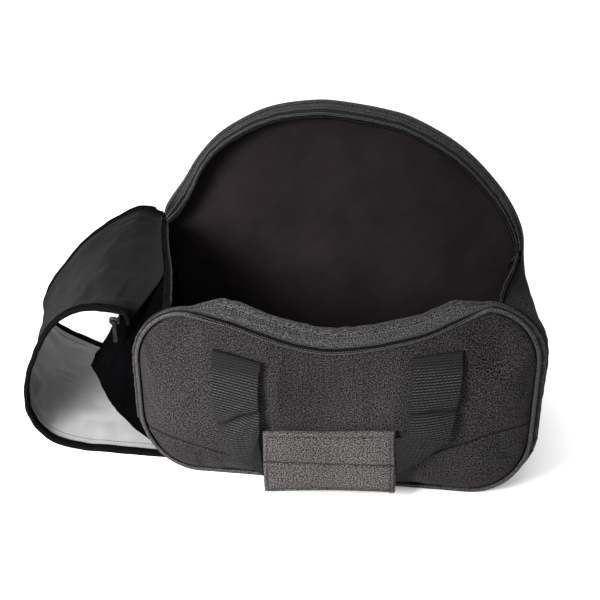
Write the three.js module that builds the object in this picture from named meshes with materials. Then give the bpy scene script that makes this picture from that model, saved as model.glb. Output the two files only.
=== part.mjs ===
// A soft carry bag with a padded front pocket, standing open: its lid is up as an arch behind the
// mouth, and the outer skin of its left end is unzipped and lies as an open loop beside it.
// Millimetres, +X to the bag's right end, +Y to its back, +Z up, origin at the middle of the base.
import * as THREE from "three";

// Body
const bodyWidth = 418; // end to end
const baseDepth = 216; // front wall's outer face to back panel's inner face
const bottomCornerWidth = 58; // rounded lower corners of the body
const bottomCornerHeight = 70;
const topCornerWidth = 50; // rounded upper corners of the front panel
const topCornerHeight = 60;
const leftShoulder = 197; // height of the pocket zip at its left end
const rightShoulder = 224; // and at its right end
const zipDip = 162; // and at its lowest point
const baseThickness = 4;

// Cloth
const clothThickness = 1.6;
const liningThickness = 2;
const paddedThickness = 4;
const clearance = 0.3; // between two pieces that touch

// Front pocket
const pocketInset = 8; // front panel's sides inside the body's
const shoulderFall = 5; // body's shoulders below the front panel's
const pocketFoot = 9; // front panel's lower edge in front of the body
const pocketHead = 21; // its zipped edge in front of the body
const pocketBelly = 25; // how far it swells past both
const bellyShare = 0.46; // height of its fullest part, of the zip's lowest point
const pipingRadius = 2.1;
const stripSwell = 3; // how far the pocket's side strip swells between panel and body
const zipWidth = 5;
const zipThickness = 2.4;

// Mouth
const bandRise = 5; // cloth strip between pocket zip and mouth zip, height
const tapeWidth = 7; // zip tape along the mouth's edges
const tapeThickness = 2.6;
const tapeLean = 0.4; // how far the end walls' tapes lean in over the mouth, of their width
const rightMouthHeight = 181; // mouth edge at the back right corner
const rightMouthRise = 34; // how much higher it is at the front
const rightMouthInset = 44; // how far it lies inside the body's side at the front
const rightBulge = 12; // how far the right end swells below it
const leftMouthHeight = 197;
const leftMouthRise = -6;
const leftMouthInset = 37;

// Lid
const lidHeight = 341; // top of the arch
const lidLean = 15; // how far its top stands behind its foot
const lidShift = 16; // how far the body leans to the left at the back
const rimWidth = 31; // strip that runs forward from the arch
const rimDroop = 7;

// Left end
const liningReach = 68; // how far the lining of the left end is pushed out
const flapReach = 178; // how far the loop lies out from the body's side
const flapHeight = 206; // top of the loop
const flapInset = 9; // loop's front edge behind the body's front
const flapOverhang = 10; // loop's back edge behind the body's back
const bindingWidth = 8.5;
const bindingThickness = 2.6;

// Handles
const webbingWidth = 50;
const webbingThickness = 2;
const webbingSpacing = 100; // middle of each webbing from the handle's middle
const handleShift = 4; // handle's middle to the right of the bag's
const leftFoldHeight = 156; // where the webbing folds over and hangs down
const rightFoldHeight = 173;
const foldRadius = 3.5;
const foldSlope = 0.13; // how far each half of the fold tilts, of the webbing's width
const seamHeight = 52; // where the webbing is sewn on, at the panel's lower seam
const gripLength = 137;
const gripHeight = 75;
const gripThickness = 8;
const gripMiddle = 49; // height of the grip's middle
const gripTilt = 0.06; // radians, the right end higher
const gripEndLow = 0.3; // webbing's edges where it enters the grip, from the grip's middle,
const gripEndHigh = 0.6; // of the webbing's width
const rearLoopHeight = 84; // lower edge of the rear handle

// Zip sliders
const sliderLength = 13;
const sliderWidth = 9;
const sliderThickness = 5;
const pullLength = 24;
const pullWidth = 6;
const pullThickness = 1.6;

// Places that follow from the sizes
const bodyHalf = bodyWidth / 2;
const panelHalf = bodyHalf - pocketInset;
const floorGap = 2 * pipingRadius + 3 * clearance; // lower edges of the front and back panels
const frontEdge = -baseDepth / 2;
const backEdge = baseDepth / 2;
const zipHalf = panelHalf - topCornerWidth;
const baseHalf = panelHalf - bottomCornerWidth;
const wallFront = frontEdge + liningThickness + clearance;
const wallBack = backEdge - clearance;
const bellyHeight = zipDip * bellyShare;
const sewnGap = 3 * clearance; // between a panel and the webbing sewn on it

const cloth = new THREE.MeshStandardMaterial({ color: 0x2e2c2b, roughness: 0.9, metalness: 0 });
const lining = new THREE.MeshStandardMaterial({ color: 0x151414, roughness: 0.85, metalness: 0 });
const silver = new THREE.MeshStandardMaterial({ color: 0xa4a6a6, roughness: 0.6, metalness: 0.1 });
const webbing = new THREE.MeshStandardMaterial({ color: 0x1f2023, roughness: 0.8, metalness: 0 });
const trim = new THREE.MeshStandardMaterial({ color: 0x141415, roughness: 0.7, metalness: 0 });
const zipNylon = new THREE.MeshStandardMaterial({ color: 0x1a1a1b, roughness: 0.5, metalness: 0 });
const sliderMetal = new THREE.MeshStandardMaterial({ color: 0x3a3a3c, roughness: 0.35, metalness: 0.9 });

const bag = new THREE.Group();

function addPiece(name, geometry, material) {
  const mesh = new THREE.Mesh(geometry, material);
  mesh.name = name;
  bag.add(mesh);
  return mesh;
}

const mix = THREE.MathUtils.lerp;
const { clamp, smoothstep } = THREE.MathUtils;

// A smooth value between a table's rows: each row stands at its own "at", and the curve passes
// through every row with a slope taken from the rows on both sides.
function smooth(rows, column, at) {
  let i = 0;
  while (i < rows.length - 2 && at > rows[i + 1].at) i += 1;
  const slope = (k) => {
    const before = rows[Math.max(k - 1, 0)];
    const after = rows[Math.min(k + 1, rows.length - 1)];
    return (after[column] - before[column]) / (after.at - before.at);
  };
  const span = rows[i + 1].at - rows[i].at;
  const t = clamp((at - rows[i].at) / span, 0, 1);
  const [t2, t3] = [t * t, t * t * t];
  return (
    (2 * t3 - 3 * t2 + 1) * rows[i][column] +
    (t3 - 2 * t2 + t) * span * slope(i) +
    (3 * t2 - 2 * t3) * rows[i + 1][column] +
    (t3 - t2) * span * slope(i + 1)
  );
}

// Turns a closed geometry so that its faces point out, which is when its signed volume is positive.
function faceOut(geometry) {
  const place = geometry.getAttribute("position");
  const index = geometry.index.array;
  const corner = (k) => new THREE.Vector3().fromBufferAttribute(place, index[k]);
  let volume = 0;
  for (let k = 0; k < index.length; k += 3) {
    volume += corner(k).dot(corner(k + 1).cross(corner(k + 2)));
  }
  if (volume < 0) {
    for (let k = 0; k < index.length; k += 3) {
      [index[k + 1], index[k + 2]] = [index[k + 2], index[k + 1]];
    }
  }
  geometry.computeVertexNormals();
  return geometry;
}

// A closed wall of cloth. point(u, v) gives one face, u and v from 0 to 1, and the other face lies
// one thickness off along that face's normal, which is the u direction crossed with the v direction.
function clothWall(point, uSteps, vSteps, thickness) {
  const face = [];
  for (let j = 0; j <= vSteps; j += 1) {
    for (let i = 0; i <= uSteps; i += 1) face.push(point(i / uSteps, j / vSteps));
  }
  const at = (i, j) => face[j * (uSteps + 1) + i];
  const between = (i0, j0, i1, j1) => at(i1, j1).clone().sub(at(i0, j0));
  const back = [];
  for (let j = 0; j <= vSteps; j += 1) {
    for (let i = 0; i <= uSteps; i += 1) {
      const along = between(Math.max(i - 1, 0), j, Math.min(i + 1, uSteps), j);
      const up = between(i, Math.max(j - 1, 0), i, Math.min(j + 1, vSteps));
      back.push(at(i, j).clone().addScaledVector(along.cross(up).normalize(), thickness));
    }
  }
  const index = [];
  const count = face.length;
  const quad = (a, b, c, d) => index.push(a, b, c, a, c, d);
  for (let j = 0; j < vSteps; j += 1) {
    for (let i = 0; i < uSteps; i += 1) {
      const a = j * (uSteps + 1) + i;
      const b = a + uSteps + 1;
      quad(a, a + 1, b + 1, b);
      quad(count + a, count + b, count + b + 1, count + a + 1);
    }
  }
  const rim = [];
  for (let i = 0; i < uSteps; i += 1) rim.push(i);
  for (let j = 0; j < vSteps; j += 1) rim.push(j * (uSteps + 1) + uSteps);
  for (let i = uSteps; i > 0; i -= 1) rim.push(vSteps * (uSteps + 1) + i);
  for (let j = vSteps; j > 0; j -= 1) rim.push(j * (uSteps + 1));
  rim.forEach((a, k) => {
    const b = rim[(k + 1) % rim.length];
    quad(b, a, count + a, count + b);
  });
  const geometry = new THREE.BufferGeometry();
  const places = [...face, ...back].flatMap((p) => p.toArray());
  geometry.setAttribute("position", new THREE.Float32BufferAttribute(places, 3));
  geometry.setIndex(index);
  return faceOut(geometry);
}

// A round cord of cloth along a curve, such as a piping.
function roundCord(points, radius, steps) {
  const section = new THREE.Shape();
  const sides = 6;
  for (let k = 0; k < sides; k += 1) {
    const angle = (2 * Math.PI * k) / sides;
    const corner = [radius * Math.cos(angle), radius * Math.sin(angle)];
    if (k === 0) section.moveTo(...corner);
    else section.lineTo(...corner);
  }
  section.closePath();
  const extrudePath = new THREE.CatmullRomCurve3(points);
  return new THREE.ExtrudeGeometry(section, { extrudePath, steps, curveSegments: 1 });
}

// How far a rounded corner has dropped at a distance past its start.
function cornerDrop(past, width, height) {
  const share = clamp(past / width, 0, 1);
  return height * (1 - Math.sqrt(1 - share * share));
}

// Pocket zip across the panel: 0 at its lowest point, 1 at the shoulder on that side.
const zipLine = [
  { at: -1, rise: 1 },
  { at: -0.72, rise: 0.74 },
  { at: -0.4, rise: 0.27 },
  { at: -0.2, rise: 0.06 },
  { at: -0.04, rise: 0 },
  { at: 0.24, rise: 0.11 },
  { at: 0.43, rise: 0.25 },
  { at: 0.62, rise: 0.43 },
  { at: 0.8, rise: 0.7 },
  { at: 1, rise: 1 },
];
const zipLowest = zipLine[4].at;

function zipHeight(x) {
  const at = clamp(x / zipHalf, -1, 1);
  const shoulder = at < zipLowest ? leftShoulder : rightShoulder;
  return zipDip + smooth(zipLine, "rise", at) * (shoulder - zipDip);
}

function panelTop(x) {
  return zipHeight(x) - cornerDrop(Math.abs(x) - zipHalf, topCornerWidth, topCornerHeight);
}

function panelBottom(x) {
  return floorGap + cornerDrop(Math.abs(x) - baseHalf, bottomCornerWidth, bottomCornerHeight);
}

function bodyBottom(x) {
  const width = bottomCornerWidth + pocketInset;
  return floorGap + cornerDrop(Math.abs(x) - baseHalf, width, bottomCornerHeight);
}

// Depth of the front panel's edge at a height: it leans forward from its foot to its zip.
function panelEdgeDepth(z) {
  return frontEdge - mix(pocketFoot, pocketHead, z / rightShoulder);
}

// Depth of the front panel's outer face: its edge, and a swell that is fullest below the middle.
function panelDepth(x, z) {
  const [low, high] = [panelBottom(x), panelTop(x)];
  const up = clamp((z - low) / (high - low), 0, 1);
  const inFromSide = 1 - Math.pow(Math.abs(x) / panelHalf, 4);
  return panelEdgeDepth(z) - pocketBelly * inFromSide * Math.sin(Math.PI * Math.pow(up, 0.7));
}

// Columns of a panel stand closer together near its sides, where its corners are round.
const columnAt = (u, half = panelHalf) => half * Math.sin((u - 0.5) * Math.PI);

function panelPoint(u, v) {
  const x = columnAt(u);
  const z = mix(panelBottom(x), panelTop(x), v);
  return new THREE.Vector3(x, panelDepth(x, z), z);
}

// An outline without its zipped top, from the left shoulder down and round to the right one: the
// front panel's own, set out by a distance, or with share 1 the body's behind it.
function frontOutline(out, share = 0) {
  const wide = out + pocketInset * share;
  const half = panelHalf + wide;
  const [across, down] = [topCornerWidth + wide, topCornerHeight + out];
  const [lowAcross, lowDown] = [bottomCornerWidth + wide, bottomCornerHeight + out];
  const low = floorGap + bottomCornerHeight;
  const fall = topCornerHeight + shoulderFall * share;
  const [leftSide, rightSide] = [leftShoulder - fall, rightShoulder - fall];
  const path = new THREE.Path();
  const quarter = Math.PI / 2;
  path.moveTo(-zipHalf, leftSide + down);
  path.absellipse(-zipHalf, leftSide, across, down, quarter, 2 * quarter, false);
  path.lineTo(-half, low);
  path.absellipse(-baseHalf, low, lowAcross, lowDown, 2 * quarter, 3 * quarter, false);
  path.lineTo(baseHalf, floorGap - out);
  path.absellipse(baseHalf, low, lowAcross, lowDown, 3 * quarter, 4 * quarter, false);
  path.lineTo(half, rightSide);
  path.absellipse(zipHalf, rightSide, across, down, 0, quarter, false);
  return path;
}

function buildFrontPocket() {
  addPiece("front_panel", clothWall(panelPoint, 24, 10, -paddedThickness), cloth);

  const pipingLine = frontOutline(pipingRadius + 2 * clearance);
  const pipingSteps = 44;
  const pipingPoints = pipingLine.getSpacedPoints(pipingSteps).map(
    (p) => new THREE.Vector3(p.x, panelEdgeDepth(p.y) - pipingRadius / 2, p.y)
  );
  addPiece("front_piping", roundCord(pipingPoints, pipingRadius, pipingSteps), trim);

  // The side strip runs back from the piping to the body, and swells out between them.
  const atPanel = frontOutline(5 * clearance + clothThickness);
  const atBody = frontOutline(clothThickness, 1);
  const stripFront = pipingRadius / 2 + 3 * clearance;
  const stripBack = frontEdge - 4 * clearance;
  const strip = (u, v) => {
    const p = atPanel.getPointAt(u).lerp(atBody.getPointAt(u), v);
    const swell = stripSwell * Math.sin(Math.PI * v) * smoothstep(p.y, floorGap, bottomCornerHeight);
    const y = mix(panelEdgeDepth(atPanel.getPointAt(u).y) + stripFront, stripBack, v);
    return new THREE.Vector3(p.x * (1 + swell / panelHalf), y, p.y);
  };
  addPiece("pocket_side_strip", clothWall(strip, 44, 2, clothThickness), cloth);
}

// Strip between the front panel's zipped edge and the mouth, full in the middle and narrow at its
// ends: t runs from the panel's edge to the mouth's edge.
const mouthFullness = (x) => smoothstep(1 - Math.abs(x) / zipHalf, -0.08, 0.28);

function mouthSlope(x, t) {
  const fullness = mouthFullness(x);
  const rise = (zipWidth + bandRise) * fullness;
  const edge = panelEdgeDepth(zipHeight(x));
  return new THREE.Vector3(
    x,
    mix(edge + paddedThickness / 2, frontEdge - clearance, t),
    zipHeight(x) + 2 * clearance + rise * t
  );
}

const mouthFrontHeight = (x) => mouthSlope(x, 1).z;

function buildMouthFront() {
  const along = (u) => mix(-1, 1, u) * (zipHalf - 2 * clearance);
  const zipShare = 0.28;
  const gapShare = 0.03;
  const zipFace = (u, v) => mouthSlope(along(u), mix(0, zipShare, v));
  addPiece("pocket_zip", clothWall(zipFace, 24, 1, zipThickness), zipNylon);
  const bandFace = (u, v) => mouthSlope(along(u), mix(zipShare + gapShare, 1, v));
  addPiece("mouth_band", clothWall(bandFace, 24, 2, clothThickness), cloth);

  // The body's own front wall closes the pocket from behind and carries the mouth's edge.
  const wallPoint = (u, v) => {
    const x = columnAt(u, bodyHalf + clothThickness);
    const inside = clamp(x, -zipHalf, zipHalf);
    const cornerWidth = topCornerWidth + pocketInset + clothThickness;
    const drop = cornerDrop(Math.abs(x) - zipHalf, cornerWidth, topCornerHeight);
    const low = bodyBottom(x) - clothThickness;
    const high = mouthFrontHeight(inside) - drop - liningThickness;
    return new THREE.Vector3(x, frontEdge, mix(low, high, v));
  };
  addPiece("front_wall", clothWall(wallPoint, 24, 4, -liningThickness), lining);

  const tape = (u, v) => {
    const x = along(u);
    const width = tapeWidth * mouthFullness(x) * v;
    return new THREE.Vector3(x, frontEdge + width / 2, mouthFrontHeight(x) + clearance + width);
  };
  addPiece("mouth_zip_front", clothWall(tape, 24, 1, -tapeThickness), zipNylon);
}

// Side of the body at a height: it stands straight at the front, and leans left towards the back.
function bodySide(side, z, depthShare) {
  const high = (rightMouthHeight + leftMouthHeight) / 2;
  return side * bodyHalf - lidShift * depthShare * smoothstep(z, bottomCornerHeight, high);
}

// Mouth's side edges from front to back: inset and rise as shares of their values at the front.
const mouthEdge = [
  { at: 0, inset: 1, rise: 1 },
  { at: 0.31, inset: 0.73, rise: 0.6 },
  { at: 0.64, inset: 0.34, rise: 0.19 },
  { at: 0.87, inset: 0.09, rise: 0.05 },
  { at: 1, inset: 0, rise: 0 },
];

function mouthCorner(side, depthShare) {
  const right = side > 0;
  const height = right ? rightMouthHeight : leftMouthHeight;
  const rise = right ? rightMouthRise : leftMouthRise;
  const inset = right ? rightMouthInset : leftMouthInset;
  const z = height + rise * smooth(mouthEdge, "rise", depthShare);
  const x = bodySide(side, z, depthShare) - side * inset * smooth(mouthEdge, "inset", depthShare);
  return new THREE.Vector2(x, z);
}

// An end of the body from the base's edge, round the lower corner and up to the mouth's edge.
function endPoint(side, depthShare, v, swell) {
  const cornerShare = 0.36;
  const y = mix(wallFront, wallBack, depthShare);
  const quarter = Math.PI / 2;
  if (v < cornerShare) {
    const turn = quarter * (v / cornerShare);
    const x = mix(baseHalf + clearance, bodyHalf, Math.sin(turn));
    const z = bottomCornerHeight * (1 - Math.cos(turn));
    return new THREE.Vector3(side * (x + swell(depthShare, z)), y, z);
  }
  const t = (v - cornerShare) / (1 - cornerShare);
  const top = mouthCorner(side, depthShare);
  const z = mix(bottomCornerHeight, top.y, 1 - Math.pow(1 - t, 1.25));
  const x = mix(bodySide(side, z, depthShare), top.x, Math.pow(t, side < 0 ? 5 : 8));
  return new THREE.Vector3(x + side * swell(depthShare, z), y, z);
}

// Swell of the left lining by height: it is pushed out to one sharp fold below its middle.
const liningSwell = [
  { at: 0, out: 0 },
  { at: 0.05, out: 0.25 },
  { at: 0.16, out: 0.64 },
  { at: 0.43, out: 1 },
  { at: 0.62, out: 0.76 },
  { at: 0.77, out: 0.42 },
  { at: 0.86, out: 0.08 },
  { at: 0.92, out: 0 },
  { at: 1, out: 0 },
];

function leftSwell(depthShare, z) {
  const out = smooth(liningSwell, "out", z / leftMouthHeight);
  return liningReach * out * Math.sin(Math.PI * Math.pow(depthShare, 0.6));
}

function rightSwell(depthShare, z) {
  const up = clamp(z / (rightMouthHeight + rightMouthRise), 0, 1);
  return rightBulge * Math.sin(Math.PI * Math.sqrt(depthShare)) * Math.sin(Math.PI * up * up);
}

function buildEnds() {
  const base = new THREE.BoxGeometry(
    2 * baseHalf - 2 * clearance, wallBack - wallFront, baseThickness
  );
  base.translate(0, (wallBack + wallFront) / 2, baseThickness / 2);
  addPiece("base_panel", base, cloth);

  const rightEnd = (u, v) => endPoint(1, u, v, rightSwell);
  addPiece("right_end_wall", clothWall(rightEnd, 8, 12, -liningThickness), cloth);
  const leftEnd = (u, v) => endPoint(-1, u, v, leftSwell);
  addPiece("left_lining_wall", clothWall(leftEnd, 10, 14, liningThickness), lining);

  // The mouth's zip tape stands on both end walls, up to where the lid's rim begins.
  const tapeStart = (2 * clearance) / baseDepth;
  const tapeEnd = 1 - rimWidth / baseDepth;
  for (const side of [-1, 1]) {
    const tape = (u, v) => {
      const share = mix(tapeStart, tapeEnd, u);
      const edge = mouthCorner(side, share);
      const y = mix(wallFront, wallBack, share);
      const x = edge.x - side * (liningThickness / 2 + tapeWidth * tapeLean * v);
      return new THREE.Vector3(x, y, edge.y + 3 * clearance + tapeWidth * v);
    };
    const name = side < 0 ? "mouth_zip_left" : "mouth_zip_right";
    addPiece(name, clothWall(tape, 8, 1, side * tapeThickness), zipNylon);
  }
}

// The lid's arch from its left foot to its right one, highest left of its middle.
const archLine = [
  { at: 0, rise: 0 },
  { at: 0.09, rise: 0.15 },
  { at: 0.155, rise: 0.31 },
  { at: 0.205, rise: 0.51 },
  { at: 0.26, rise: 0.7 },
  { at: 0.32, rise: 0.845 },
  { at: 0.37, rise: 0.935 },
  { at: 0.425, rise: 0.985 },
  { at: 0.48, rise: 1 },
  { at: 0.595, rise: 0.93 },
  { at: 0.65, rise: 0.845 },
  { at: 0.72, rise: 0.7 },
  { at: 0.81, rise: 0.46 },
  { at: 0.91, rise: 0.2 },
  { at: 1, rise: 0 },
];

function archHeight(u) {
  const foot = mix(leftMouthHeight, rightMouthHeight, u);
  return foot + (lidHeight - foot) * smooth(archLine, "rise", u);
}

function backDepth(z) {
  return backEdge + lidLean * Math.pow(clamp(z / lidHeight, 0, 1), 1.6);
}

function backPlace(u, z) {
  return new THREE.Vector3(columnAt(u, bodyHalf) + bodySide(0, z, 1), backDepth(z), z);
}

function buildLid() {
  const backPoint = (u, v) => backPlace(u, mix(bodyBottom(columnAt(u, bodyHalf)), archHeight(u), v));
  addPiece("back_panel", clothWall(backPoint, 24, 10, -paddedThickness), cloth);

  // The rim runs forward from the arch and hangs in a little towards its middle.
  const rimPlace = (u, forward, lift) => {
    const p = backPlace(u, archHeight(u));
    const middle = bodySide(0, p.z, 1);
    const hang = rimDroop * (forward / rimWidth);
    const x = middle + (p.x - middle) * (1 - hang / bodyHalf);
    const height = p.z + 2 * clearance + lift - hang * Math.cos((u - 0.5) * Math.PI);
    return new THREE.Vector3(x, p.y - clearance - forward, height);
  };
  const rimFace = (u, v) => rimPlace(u, rimWidth * v, 0);
  addPiece("lid_rim", clothWall(rimFace, 28, 2, -clothThickness), cloth);
  const coilFace = (u, v) => rimPlace(u, rimWidth + clearance + zipWidth * v, 0);
  addPiece("lid_zip", clothWall(coilFace, 28, 1, -zipThickness), zipNylon);

  const pipingPoints = [];
  const sideSteps = 5;
  const archSteps = 28;
  const offset = pipingRadius + 2 * clearance;
  const middleOfPanel = (z) => backDepth(z) + paddedThickness / 2;
  const alongSide = (side, share, foot) => {
    const z = mix(bottomCornerHeight, foot, share);
    return new THREE.Vector3(bodySide(side, z, 1) + side * offset, middleOfPanel(z), z);
  };
  for (let k = 0; k < sideSteps; k += 1) {
    pipingPoints.push(alongSide(-1, k / sideSteps, leftMouthHeight));
  }
  for (let k = 0; k <= archSteps; k += 1) {
    const u = k / archSteps;
    const p = backPlace(u, archHeight(u));
    const turn = (u - 0.5) * Math.PI;
    const z = p.z + offset * Math.cos(turn);
    pipingPoints.push(new THREE.Vector3(p.x + offset * Math.sin(turn), middleOfPanel(p.z), z));
  }
  for (let k = sideSteps - 1; k >= 0; k -= 1) {
    pipingPoints.push(alongSide(1, k / sideSteps, rightMouthHeight));
  }
  addPiece("back_piping", roundCord(pipingPoints, pipingRadius, 52), trim);
}

// The unzipped skin of the left end as a loop: from under the lining's foot out along the ground, up
// and back over to the mouth's edge. Its section at the front and at the back, out as a share of the
// loop's reach from the body's side, up as a share of its height.
const loopRows = [
  { at: 0, frontOut: -0.28, frontUp: 0, backOut: -0.28, backUp: 0 },
  { at: 0.1, frontOut: 0.1, frontUp: 0.002, backOut: 0.1, backUp: 0.002 },
  { at: 0.24, frontOut: 0.49, frontUp: 0.016, backOut: 0.5, backUp: 0.018 },
  { at: 0.33, frontOut: 0.66, frontUp: 0.09, backOut: 0.75, backUp: 0.09 },
  { at: 0.41, frontOut: 0.74, frontUp: 0.24, backOut: 0.95, backUp: 0.18 },
  { at: 0.49, frontOut: 0.72, frontUp: 0.42, backOut: 1.02, backUp: 0.29 },
  { at: 0.57, frontOut: 0.64, frontUp: 0.6, backOut: 0.97, backUp: 0.43 },
  { at: 0.66, frontOut: 0.52, frontUp: 0.77, backOut: 0.84, backUp: 0.59 },
  { at: 0.75, frontOut: 0.36, frontUp: 0.865, backOut: 0.65, backUp: 0.78 },
  { at: 0.84, frontOut: 0.2, frontUp: 0.88, backOut: 0.42, backUp: 0.93 },
  { at: 0.92, frontOut: 0.07, frontUp: 0.86, backOut: 0.25, backUp: 1 },
  { at: 1, frontOut: 0.045, frontUp: 0.8, backOut: 0.115, backUp: 0.955 },
];
const flapFront = frontEdge + flapInset;
const flapBack = backEdge + flapOverhang;
const frontFree = 0.35; // share of its depth over which its upper end leaves the mouth's edge

function loopPlace(round, y) {
  const depth = (y - flapFront) / (flapBack - flapFront);
  const out = mix(smooth(loopRows, "frontOut", round), smooth(loopRows, "backOut", round), depth);
  const up = mix(smooth(loopRows, "frontUp", round), smooth(loopRows, "backUp", round), depth);
  const free = new THREE.Vector3(-bodyHalf - flapReach * out, y, flapHeight * up);
  // Its upper end is sewn along the mouth's left edge, and runs down off it at the very front.
  const edge = mouthCorner(-1, clamp((y - wallFront) / (wallBack - wallFront), 0, 1));
  const sewnOut = tapeThickness + clothThickness + 4 * clearance;
  const sewn = new THREE.Vector3(edge.x - sewnOut, y, edge.y + clothThickness);
  return free.lerp(sewn, smoothstep(round, 0.9, 1) * smoothstep(depth, 0, frontFree));
}

function buildLeftLoop() {
  const clothFront = flapFront + bindingWidth + clearance;
  const clothBack = flapBack - bindingWidth - clearance;
  const skin = (u, v) => loopPlace(u, mix(clothFront, clothBack, v));
  addPiece("end_flap", clothWall(skin, 24, 5, -clothThickness), silver);
  const bindingStart = 0.06;
  const bindings = [
    { name: "flap_binding_front", from: flapFront, to: clothFront - clearance },
    { name: "flap_binding_back", from: clothBack + clearance, to: flapBack },
  ];
  for (const { name, from, to } of bindings) {
    const binding = (u, v) => loopPlace(mix(bindingStart, 1, u), mix(from, to, v));
    addPiece(name, clothWall(binding, 24, 1, -bindingThickness), trim);
  }
}

// Webbing laid along rows: each row joins an outer and an inner edge point, and the cloth's body lies
// on the side that the fold closes on.
function webbingAlong(rows, thickness) {
  const steps = rows.length - 1;
  const face = (u, v) => {
    const row = rows[Math.round(v * steps)];
    return row.outer.clone().lerp(row.inner, u);
  };
  return clothWall(face, 2, steps, thickness);
}

// A point in front of the panel: the webbing lies on it above the belly and hangs straight below it.
function onFront(x, z, off) {
  return new THREE.Vector3(x, panelDepth(x, Math.max(z, bellyHeight)) - off, z);
}

function gripCorner(side, up) {
  const x = (side * gripLength) / 2 + side * 4 * clearance;
  const z = gripMiddle + up;
  return new THREE.Vector2(x - up * gripTilt, z + x * gripTilt);
}

// A fold of webbing by half turns: how far each row stands off the panel, and its lift.
const foldSteps = [0.25, 0.5, 0.75, 1].map((turn) => ({
  off: sewnGap + foldRadius * (1 - Math.cos(turn * Math.PI)),
  lift: foldRadius * Math.sin(turn * Math.PI),
}));
const hanging = sewnGap + 2 * foldRadius;

// Hanging part of each front webbing: its edges from its middle line as shares of its width, and
// their heights as shares of its fold's height. The last row is where it turns towards the grip.
const hangRows = [
  { outer: 0.52, inner: -0.46, leftOuter: 0.95, leftInner: 0.91, rightOuter: 0.96, rightInner: 0.95 },
  { outer: 0.5, inner: -0.46, leftOuter: 0.79, leftInner: 0.8, rightOuter: 0.83, rightInner: 0.79 },
  { outer: 0.44, inner: -0.48, leftOuter: 0.63, leftInner: 0.7, rightOuter: 0.66, rightInner: 0.62 },
  { outer: 0.34, inner: -0.5, leftOuter: 0.35, leftInner: 0.58, rightOuter: 0.49, rightInner: 0.53 },
];

function buildHandles() {
  const half = webbingWidth / 2;
  const slopeHeight = foldSlope * webbingWidth;
  for (const side of [-1, 1]) {
    const middle = side * webbingSpacing + handleShift;
    const foldHeight = side < 0 ? leftFoldHeight : rightFoldHeight;
    const end = side < 0 ? "left" : "right";
    const rows = [];
    const sewnRows = 8;
    for (let k = 0; k <= sewnRows; k += 1) {
      const z = mix(seamHeight, foldHeight, k / sewnRows);
      const slope = slopeHeight * (k / sewnRows);
      rows.push({
        outer: onFront(middle + side * half, z + slope, sewnGap),
        inner: onFront(middle - side * half, z - slope, sewnGap),
      });
    }
    for (const { off, lift } of foldSteps) {
      rows.push({
        outer: onFront(middle + side * half, foldHeight + slopeHeight + lift, off),
        inner: onFront(middle - side * half, foldHeight - slopeHeight + lift, off),
      });
    }
    for (const row of hangRows) {
      const outerUp = foldHeight * row[end + "Outer"];
      const innerUp = foldHeight * row[end + "Inner"];
      rows.push({
        outer: onFront(middle + side * row.outer * webbingWidth, outerUp, hanging),
        inner: onFront(middle + side * row.inner * webbingWidth, innerUp, hanging),
      });
    }
    const low = gripCorner(side, -webbingWidth * gripEndLow);
    const high = gripCorner(side, webbingWidth * gripEndHigh);
    const atGrip = {
      outer: onFront(low.x, low.y, hanging),
      inner: onFront(high.x, high.y, hanging),
    };
    const last = rows[rows.length - 1];
    const halfWay = (edge) => last[edge].clone().lerp(atGrip[edge], 0.5);
    rows.push({ outer: halfWay("outer"), inner: halfWay("inner") }, atGrip);
    const name = "handle_web_" + end;
    addPiece(name, webbingAlong(rows, -side * webbingThickness), webbing);
  }

  const grip = new THREE.Shape();
  const [gx, gz, round] = [gripLength / 2, gripHeight / 2, 3];
  grip.moveTo(-gx + round, -gz);
  grip.lineTo(gx - round, -gz);
  grip.lineTo(gx, -gz + round);
  grip.lineTo(gx, gz - round);
  grip.lineTo(gx - round, gz);
  grip.lineTo(-gx + round, gz);
  grip.lineTo(-gx, gz - round);
  grip.lineTo(-gx, -gz + round);
  const slab = new THREE.ExtrudeGeometry(grip, { depth: gripThickness, bevelEnabled: false });
  const gripMesh = addPiece("handle_grip", slab, cloth);
  gripMesh.rotation.set(Math.PI / 2, -gripTilt, 0, "YXZ");
  gripMesh.position.set(0, panelDepth(0, bellyHeight) - 2 * clearance, gripMiddle);
}

function buildRearHandle() {
  const half = webbingWidth / 2;
  const foldHeight = (leftFoldHeight + rightFoldHeight) / 2;
  const onBack = (x, z, off) => new THREE.Vector3(x, backDepth(z) + paddedThickness + off, z);
  const branch = (side) => {
    const row = (z, off) => ({
      outer: onBack(side * (webbingSpacing + half), z, off),
      inner: onBack(side * (webbingSpacing - half), z, off),
    });
    const rows = [];
    for (const share of [0, 0.5, 1]) rows.push(row(mix(seamHeight, foldHeight, share), sewnGap));
    for (const { off, lift } of foldSteps) rows.push(row(foldHeight + lift, off));
    rows.push(row(mix(rearLoopHeight + webbingWidth, foldHeight, 0.5), hanging));
    rows.push({
      outer: onBack(side * (webbingSpacing + half), rearLoopHeight, hanging),
      inner: onBack(side * (webbingSpacing - half), rearLoopHeight + webbingWidth, hanging),
    });
    return rows;
  };
  const middleRow = {
    outer: onBack(0, rearLoopHeight, hanging),
    inner: onBack(0, rearLoopHeight + webbingWidth, hanging),
  };
  const rows = [...branch(-1), middleRow, ...branch(1).reverse()];
  addPiece("rear_handle", webbingAlong(rows, -webbingThickness), webbing);
}

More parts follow.
